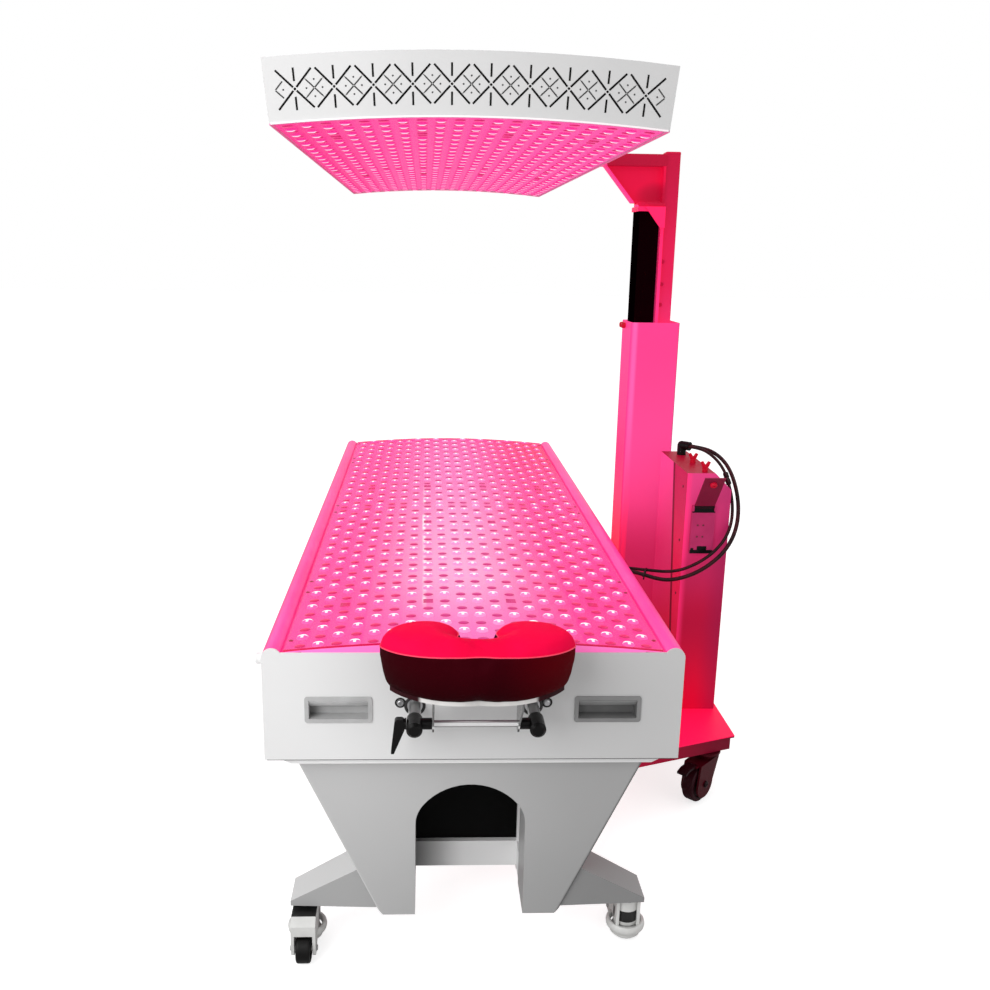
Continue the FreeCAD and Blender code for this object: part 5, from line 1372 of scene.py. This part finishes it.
# %% Arm fittings
ARM_BLOCKS = {
    "web_foot": ((481, 556), (150, 203), (1463.6, 1474.6), 0.002, "canopy_arm"),
    "post_cap": ((555.4, 596.6), (174.4, 215.6), (1598, 1608), 0.004, "lift_post"),
}


def arm_block(name, x, y, z, edge, node):
    """Block with its top drawn in and its edges rounded, painted like the solid that it belongs to."""
    block = slab(name, x, y, z)
    inset_face(block, TO_TOP, edge)
    bevel(block, edge, segments=3)
    complete(block, LIFT, stand_coats[node])


for name, facts in ARM_BLOCKS.items():
    arm_block(name, *facts)
print("arm fittings in place")

# %% [markdown]
# ## Breaker face
# The breaker unit has a pale face between two black bars, and a black latch on the lower bar. Each bar is a
# block with bevelled edges that sits on the unit's front. The flip-up cover above it carries a round red
# latch.

# %% Breaker face
UNIT_FRONT = -222.0
BAR_SINK, BAR_EDGE = 1.0, 0.0003
LEFT, RIGHT = 584, 642


def bar(name, x, z, depth):
    """Bevelled block on the breaker's front between two X and two heights."""
    block = slab(name, x, (UNIT_FRONT - depth, UNIT_FRONT + BAR_SINK), z)
    inset_face(block, TO_FRONT, min(x[1] - x[0], z[1] - z[0]) / 1000 * 0.14, depth * 0.0002)
    bevel(block, BAR_EDGE)
    return block


bars = [
    bar("upper_bar", (LEFT, RIGHT), (709, 720), 0.8),
    bar("lower_bar", (LEFT, RIGHT), (602, 611), 0.8),
    bar("latch", (602, 626), (609, 621), 1.0),
    bar("latch_foot", (LEFT + 2, LEFT + 9), (606, 616), 1.0),
]
complete(joined("breaker_bars", bars), ROOT, black_plastic)
switches = [bar("switch", (x, x + 4), (z, z + 4), 0.8) for x in (598, 612) for z in (644, 674)]
complete(joined("breaker_switches", switches), ROOT, stand_dark)
print(f"{len(bars)} bars and {len(switches)} switches on the breaker")

# %% [markdown]
# The cover stands open, turned about its hinge along its lower edge. Its round red latch sits near its free
# edge and moves with it.

# %% Flap latch
FLAP_TURN = math.radians(40)
LATCH_RISE = 0.096
hinge = spot(613, -224, 724)
out_of_flap = Vector((0, -math.cos(FLAP_TURN), -math.sin(FLAP_TURN)))
up_the_flap = Vector((0, -math.sin(FLAP_TURN), math.cos(FLAP_TURN)))
latch_place = hinge + up_the_flap * LATCH_RISE
latch_spot = [(latch_place, out_of_flap)]
fitted(screw_shape(*FLAP_LATCH), "flap_latch", latch_spot, "breaker_cover", stand_red)
print(f"flap latch at height {latch_place.z:.4f} m")

# %% [markdown]
# ## Flush pulls
# A hood slopes inwards from the top edge of each pull, so that fingers reach under it. It is one plate,
# turned about the long axis, copied to the four pulls.

# %% Pull hoods
HOOD_SIZE = (0.1054, 0.0022, 0.0185)
HOOD_TURN = math.radians(41)


def hood(name, x, side):
    """Plate from the top front edge of a pull down to its inside; side is -1 at the head end."""
    plate = primitive("cube", name, size=1, scale=HOOD_SIZE)
    bevel(plate, 0.0006)
    with editing(plate, everything=True):
        bpy.ops.transform.translate(value=(0, 0, -HOOD_SIZE[2] / 2))
    plate.data.transform(Matrix.Rotation(-side * HOOD_TURN, 4, "X"))
    plate.data.transform(Matrix.Translation(spot(x, side * 975.2, 560.6)))
    return plate


hoods = [hood("hood", x, side) for x in (-241, 241) for side in (-1, 1)]
# The hoods are painted lighter than the pulls, against the shade they get from facing down, with a painted
# fall-off of light to the right.
hood_plastic = moulded("hood_plastic", across(206, 142, NEAR_HALF), 0.5)
complete(joined("pull_hoods", hoods), ROOT, hood_plastic)
print("pull hoods in place")

# %% [markdown]
# ## Shadow strips and guard rings
# A thin dark strip paints the shade in the gap between each end panel and the tray below it. Under each
# corner of the bed, a pale ring guards the levelling pad of the caster.

# %% Shadow strips and guard rings
GAP_SHADOW_SIZE = (0.742, 0.011, 0.0022)
GUARD_RING = (0.0335, 0.0052, 1.6)
CORNERS = {"head_left": (-1, -1), "head_right": (1, -1), "foot_left": (-1, 1), "foot_right": (1, 1)}
gap_shadow_grey = moulded("gap_shadow_grey", (84,), 0.6, shine=0.1)


def gap_shadow(side):
    """Dark strip under an end panel, painted shade of the gap there, hollowed along its underside; side is
    -1 at the head end.
    """
    strip = primitive("cube", "gap_shadow", size=1, location=spot(0, side * 968.8, 445.2), scale=GAP_SHADOW_SIZE)
    inset_face(strip, TO_FLOOR, 0.002, -0.0006)
    bevel(strip, 0.0004)
    return strip


complete(joined("panel_gap_shadows", [gap_shadow(-1), gap_shadow(1)]), ROOT, gap_shadow_grey)
for corner, (x, y) in CORNERS.items():
    name, place, body = f"guard_{corner}", (x * 318, y * 885, 35), f"swivel_{corner}"
    many(ring_shape(*GUARD_RING), name, [place], TO_TOP, body, caster_paint)
print("seals and guard rings in place")

# %% [markdown]
# ## Canopy ends
# Between the slots of the canopy's ends are small round holes: one in the middle of each large cross and
# four round each small one. All of them are placed about the centre of the arch, like the slots.

# %% Vent holes
VENT_PITCH = math.radians(1.13)
VENT_RADIUS = 3353.5
CANOPY_FRONT, CANOPY_BACK = -809, 1191
VENT_CENTRE, VENT_DOT = (0.0023, 0.0003, 0.0002, 10), (0.0016, 0.0003, 0.0002, 8)
DOT_REACH = 13.5
vent_black = moulded("vent_black", (14,), 0.6, shine=0.1)
vent_dark = moulded("vent_dark", (66,), 0.6, shine=0.1)
vent_grey = moulded("vent_grey", (70,), 0.6, shine=0.1)


def on_end(step, side, rise, y):
    """Place on a canopy end, at a step along the row of crosses and an offset from there."""
    turn = step * VENT_PITCH
    radius = VENT_RADIUS + rise
    x = CANOPY_ARCH[0] * 1000 + radius * math.sin(turn) + side * math.cos(turn)
    z = CANOPY_ARCH[1] * 1000 + radius * math.cos(turn) - side * math.sin(turn)
    return (x, y, z)


AROUND = ((0, DOT_REACH), (0, -DOT_REACH), (DOT_REACH, 0), (-DOT_REACH, 0))
for end, y, facing in (("head", CANOPY_FRONT, -1), ("foot", CANOPY_BACK, 1)):
    centres = [on_end(step - 4.5, 0, 0, y) for step in range(10)]
    around = [on_end(step - 4, *offset, y) for step in range(9) for offset in AROUND]
    around += [on_end(outer * 5, -outer * DOT_REACH, 0, y) for outer in (-1, 1)]
    # Each hole is a dark disc: painted shade in place of an opening.
    holes = (("centres", VENT_CENTRE, centres, vent_black), ("dots", VENT_DOT, around, vent_grey))
    for kind, size, places, finish in holes:
        name = f"vent_{kind}_{end}"
        many(screw_shape(*size), name, places, (0, facing, 0), LIFT, finish)
print("vent holes in place")

# %% [markdown]
# The slots themselves are cut in the solids. Their cut edges are dark, and a dark strip along each slot,
# painted shade of its opening, makes them bolder. One cross of strips is modelled at the top of the arch,
# and its copies are turned about the arch's centre. The row ends in half a small cross on both sides.

# %% Slot shadow strips
SLOT_SHADOW_DEPTH = 0.0008
LARGE_WIDTH, SMALL_WIDTH = 0.0034, 0.0023
QUARTERS = [(side, up) for side in (-1, 1) for up in (-1, 1)]
LARGE_CROSS = [(4 * side, 4 * up, 29 * side, 30 * up) for side, up in QUARTERS]
LARGE_CROSS += [(0, 14 * up, 0, 32 * up) for up in (-1, 1)]
SMALL_CROSS = [(1.4 * side, 1.4 * up, 12.5 * side, 12.5 * up) for side, up in QUARTERS]
LEFT_HALF = [line for line in SMALL_CROSS if line[0] > 0]
RIGHT_HALF = [line for line in SMALL_CROSS if line[0] < 0]


def cross(lines, width):
    """Strips along the slots of one cross, each given by its two ends in millimetres."""
    strips = []
    for x0, rise0, x1, rise1 in lines:
        length = math.hypot(x1 - x0, rise1 - rise0) / 1000
        strip = primitive("cube", "strip", size=1, scale=(width, SLOT_SHADOW_DEPTH, length + width))
        bevel(strip, 0.0003)
        strip.data.transform(Matrix.Rotation(math.atan2(x1 - x0, rise1 - rise0), 4, "Y"))
        middle = ((x0 + x1) / 2, 0, VENT_RADIUS + (rise0 + rise1) / 2)
        strip.data.transform(Matrix.Translation(Vector(middle) / 1000))
        strips.append(strip)
    return joined("cross", strips)


def cross_row(name, lines, width, steps, finish):
    """One cross, copied to steps along the arch on both ends of the canopy."""
    pattern = cross(lines, width)
    copies = []
    for y in (CANOPY_FRONT, CANOPY_BACK):
        for step in steps:
            copy = twin(pattern, name)
            copy.data.transform(Matrix.Rotation(step * VENT_PITCH, 4, "Y"))
            centre = spot(CANOPY_ARCH[0] * 1000, y, CANOPY_ARCH[1] * 1000)
            copy.data.transform(Matrix.Translation(centre))
            copies.append(copy)
    bpy.data.objects.remove(pattern)
    piece = complete(joined(name, copies), LIFT, finish)
    print(f"{name}: {len(piece.data.polygons)} faces")


# Dark strips over the slots: painted shade.
cross_row("large_crosses", LARGE_CROSS, LARGE_WIDTH, [step - 4.5 for step in range(10)], vent_black)
cross_row("small_crosses", SMALL_CROSS, SMALL_WIDTH, [step - 4 for step in range(9)], vent_dark)
cross_row("left_half_cross", LEFT_HALF, SMALL_WIDTH, [-5], vent_dark)
cross_row("right_half_cross", RIGHT_HALF, SMALL_WIDTH, [5], vent_dark)

# %% [markdown]
# A narrow bright lip runs along the lower edge of each canopy end; its brightness is a painted highlight,
# where the light of the deck spills onto it. Its section is a small square that is spun about the centre of
# the arch.

# %% Canopy lips
LIP_HALF = math.radians(5.9)
LIP_SECTION, LIP_STEPS = 0.0030, 40


def lip_shade(coat):
    return coat.along(coat.x, (-0.3, (255, 252, 253)), (0.3, (252, 244, 247)))


lip_highlight = powder_coat("lip_highlight", lip_shade)


def lip(name, y, facing):
    centre = Vector((CANOPY_ARCH[0], 0, CANOPY_ARCH[1])) - ORIGIN
    section = primitive("plane", name, size=1)
    with editing(section, everything=True):
        bpy.ops.transform.resize(value=(LIP_SECTION, LIP_SECTION, 1))
    section.data.transform(Matrix.Rotation(math.pi / 2, 4, "Y"))
    section.data.transform(Matrix.Translation((0, spot(0, y + facing * 1.2, 0).y, ARCH_RADIUS + 0.0018)))
    section.data.transform(Matrix.Rotation(LIP_HALF, 4, "Y"))
    section.data.transform(Matrix.Translation((centre.x, 0, centre.z)))
    with editing(section, everything=True):
        bpy.ops.mesh.spin(steps=LIP_STEPS, angle=2 * LIP_HALF, center=centre, axis=(0, 1, 0))
        bpy.ops.mesh.select_all(action="SELECT")
        bpy.ops.mesh.remove_doubles(threshold=0.0001)
        bpy.ops.mesh.normals_make_consistent(inside=False)
    return section


lips = [lip("lip", CANOPY_FRONT, -1), lip("lip", CANOPY_BACK, 1)]
complete(joined("canopy_lips", lips), LIFT, lip_highlight)
print(f"canopy lips have {len(lips[0].data.polygons)} faces")

# %% [markdown]
# ## Caster bolts
# Each wheel turns on a bolt whose domed heads show on both sides of the frame. One head is modelled and
# placed at both ends of every axle, found from the joint that the wheel turns on.

# %% Caster bolts
joints = {joint["name"]: joint for joint in frame["joints"]}
BED_AXLE, STAND_AXLE = (0.0235, 0.0055), (0.024, 0.0085)
bolt_steel = moulded("bolt_steel", (168,), 0.3)


def axle_bolts(kind, corner, half_width, radius, finish, slot):
    """Bolt heads at both ends of the axle of a bed caster or, with its kind, a stand caster."""
    name, body = f"{kind}roll_{corner}", f"{kind}swivel_{corner}"
    place, axis = Vector(joints[name]["pos_m"]), Vector(joints[name]["axis"])
    head = screw_shape(radius, radius * 0.45, radius * 0.2, 14)
    spots = [(place + axis * side * half_width, axis * side) for side in (-1, 1)]
    fitted(head, f"{name}_bolts", spots, body, finish)


for corner in CORNERS:
    axle_bolts("", corner, *BED_AXLE, bolt_steel, "steel")
for corner in ("head_outer", "foot_outer", "head_inner", "foot_inner"):
    axle_bolts("stand_", corner, *STAND_AXLE, pedal_plastic, "pedal")
print("caster bolts in place")
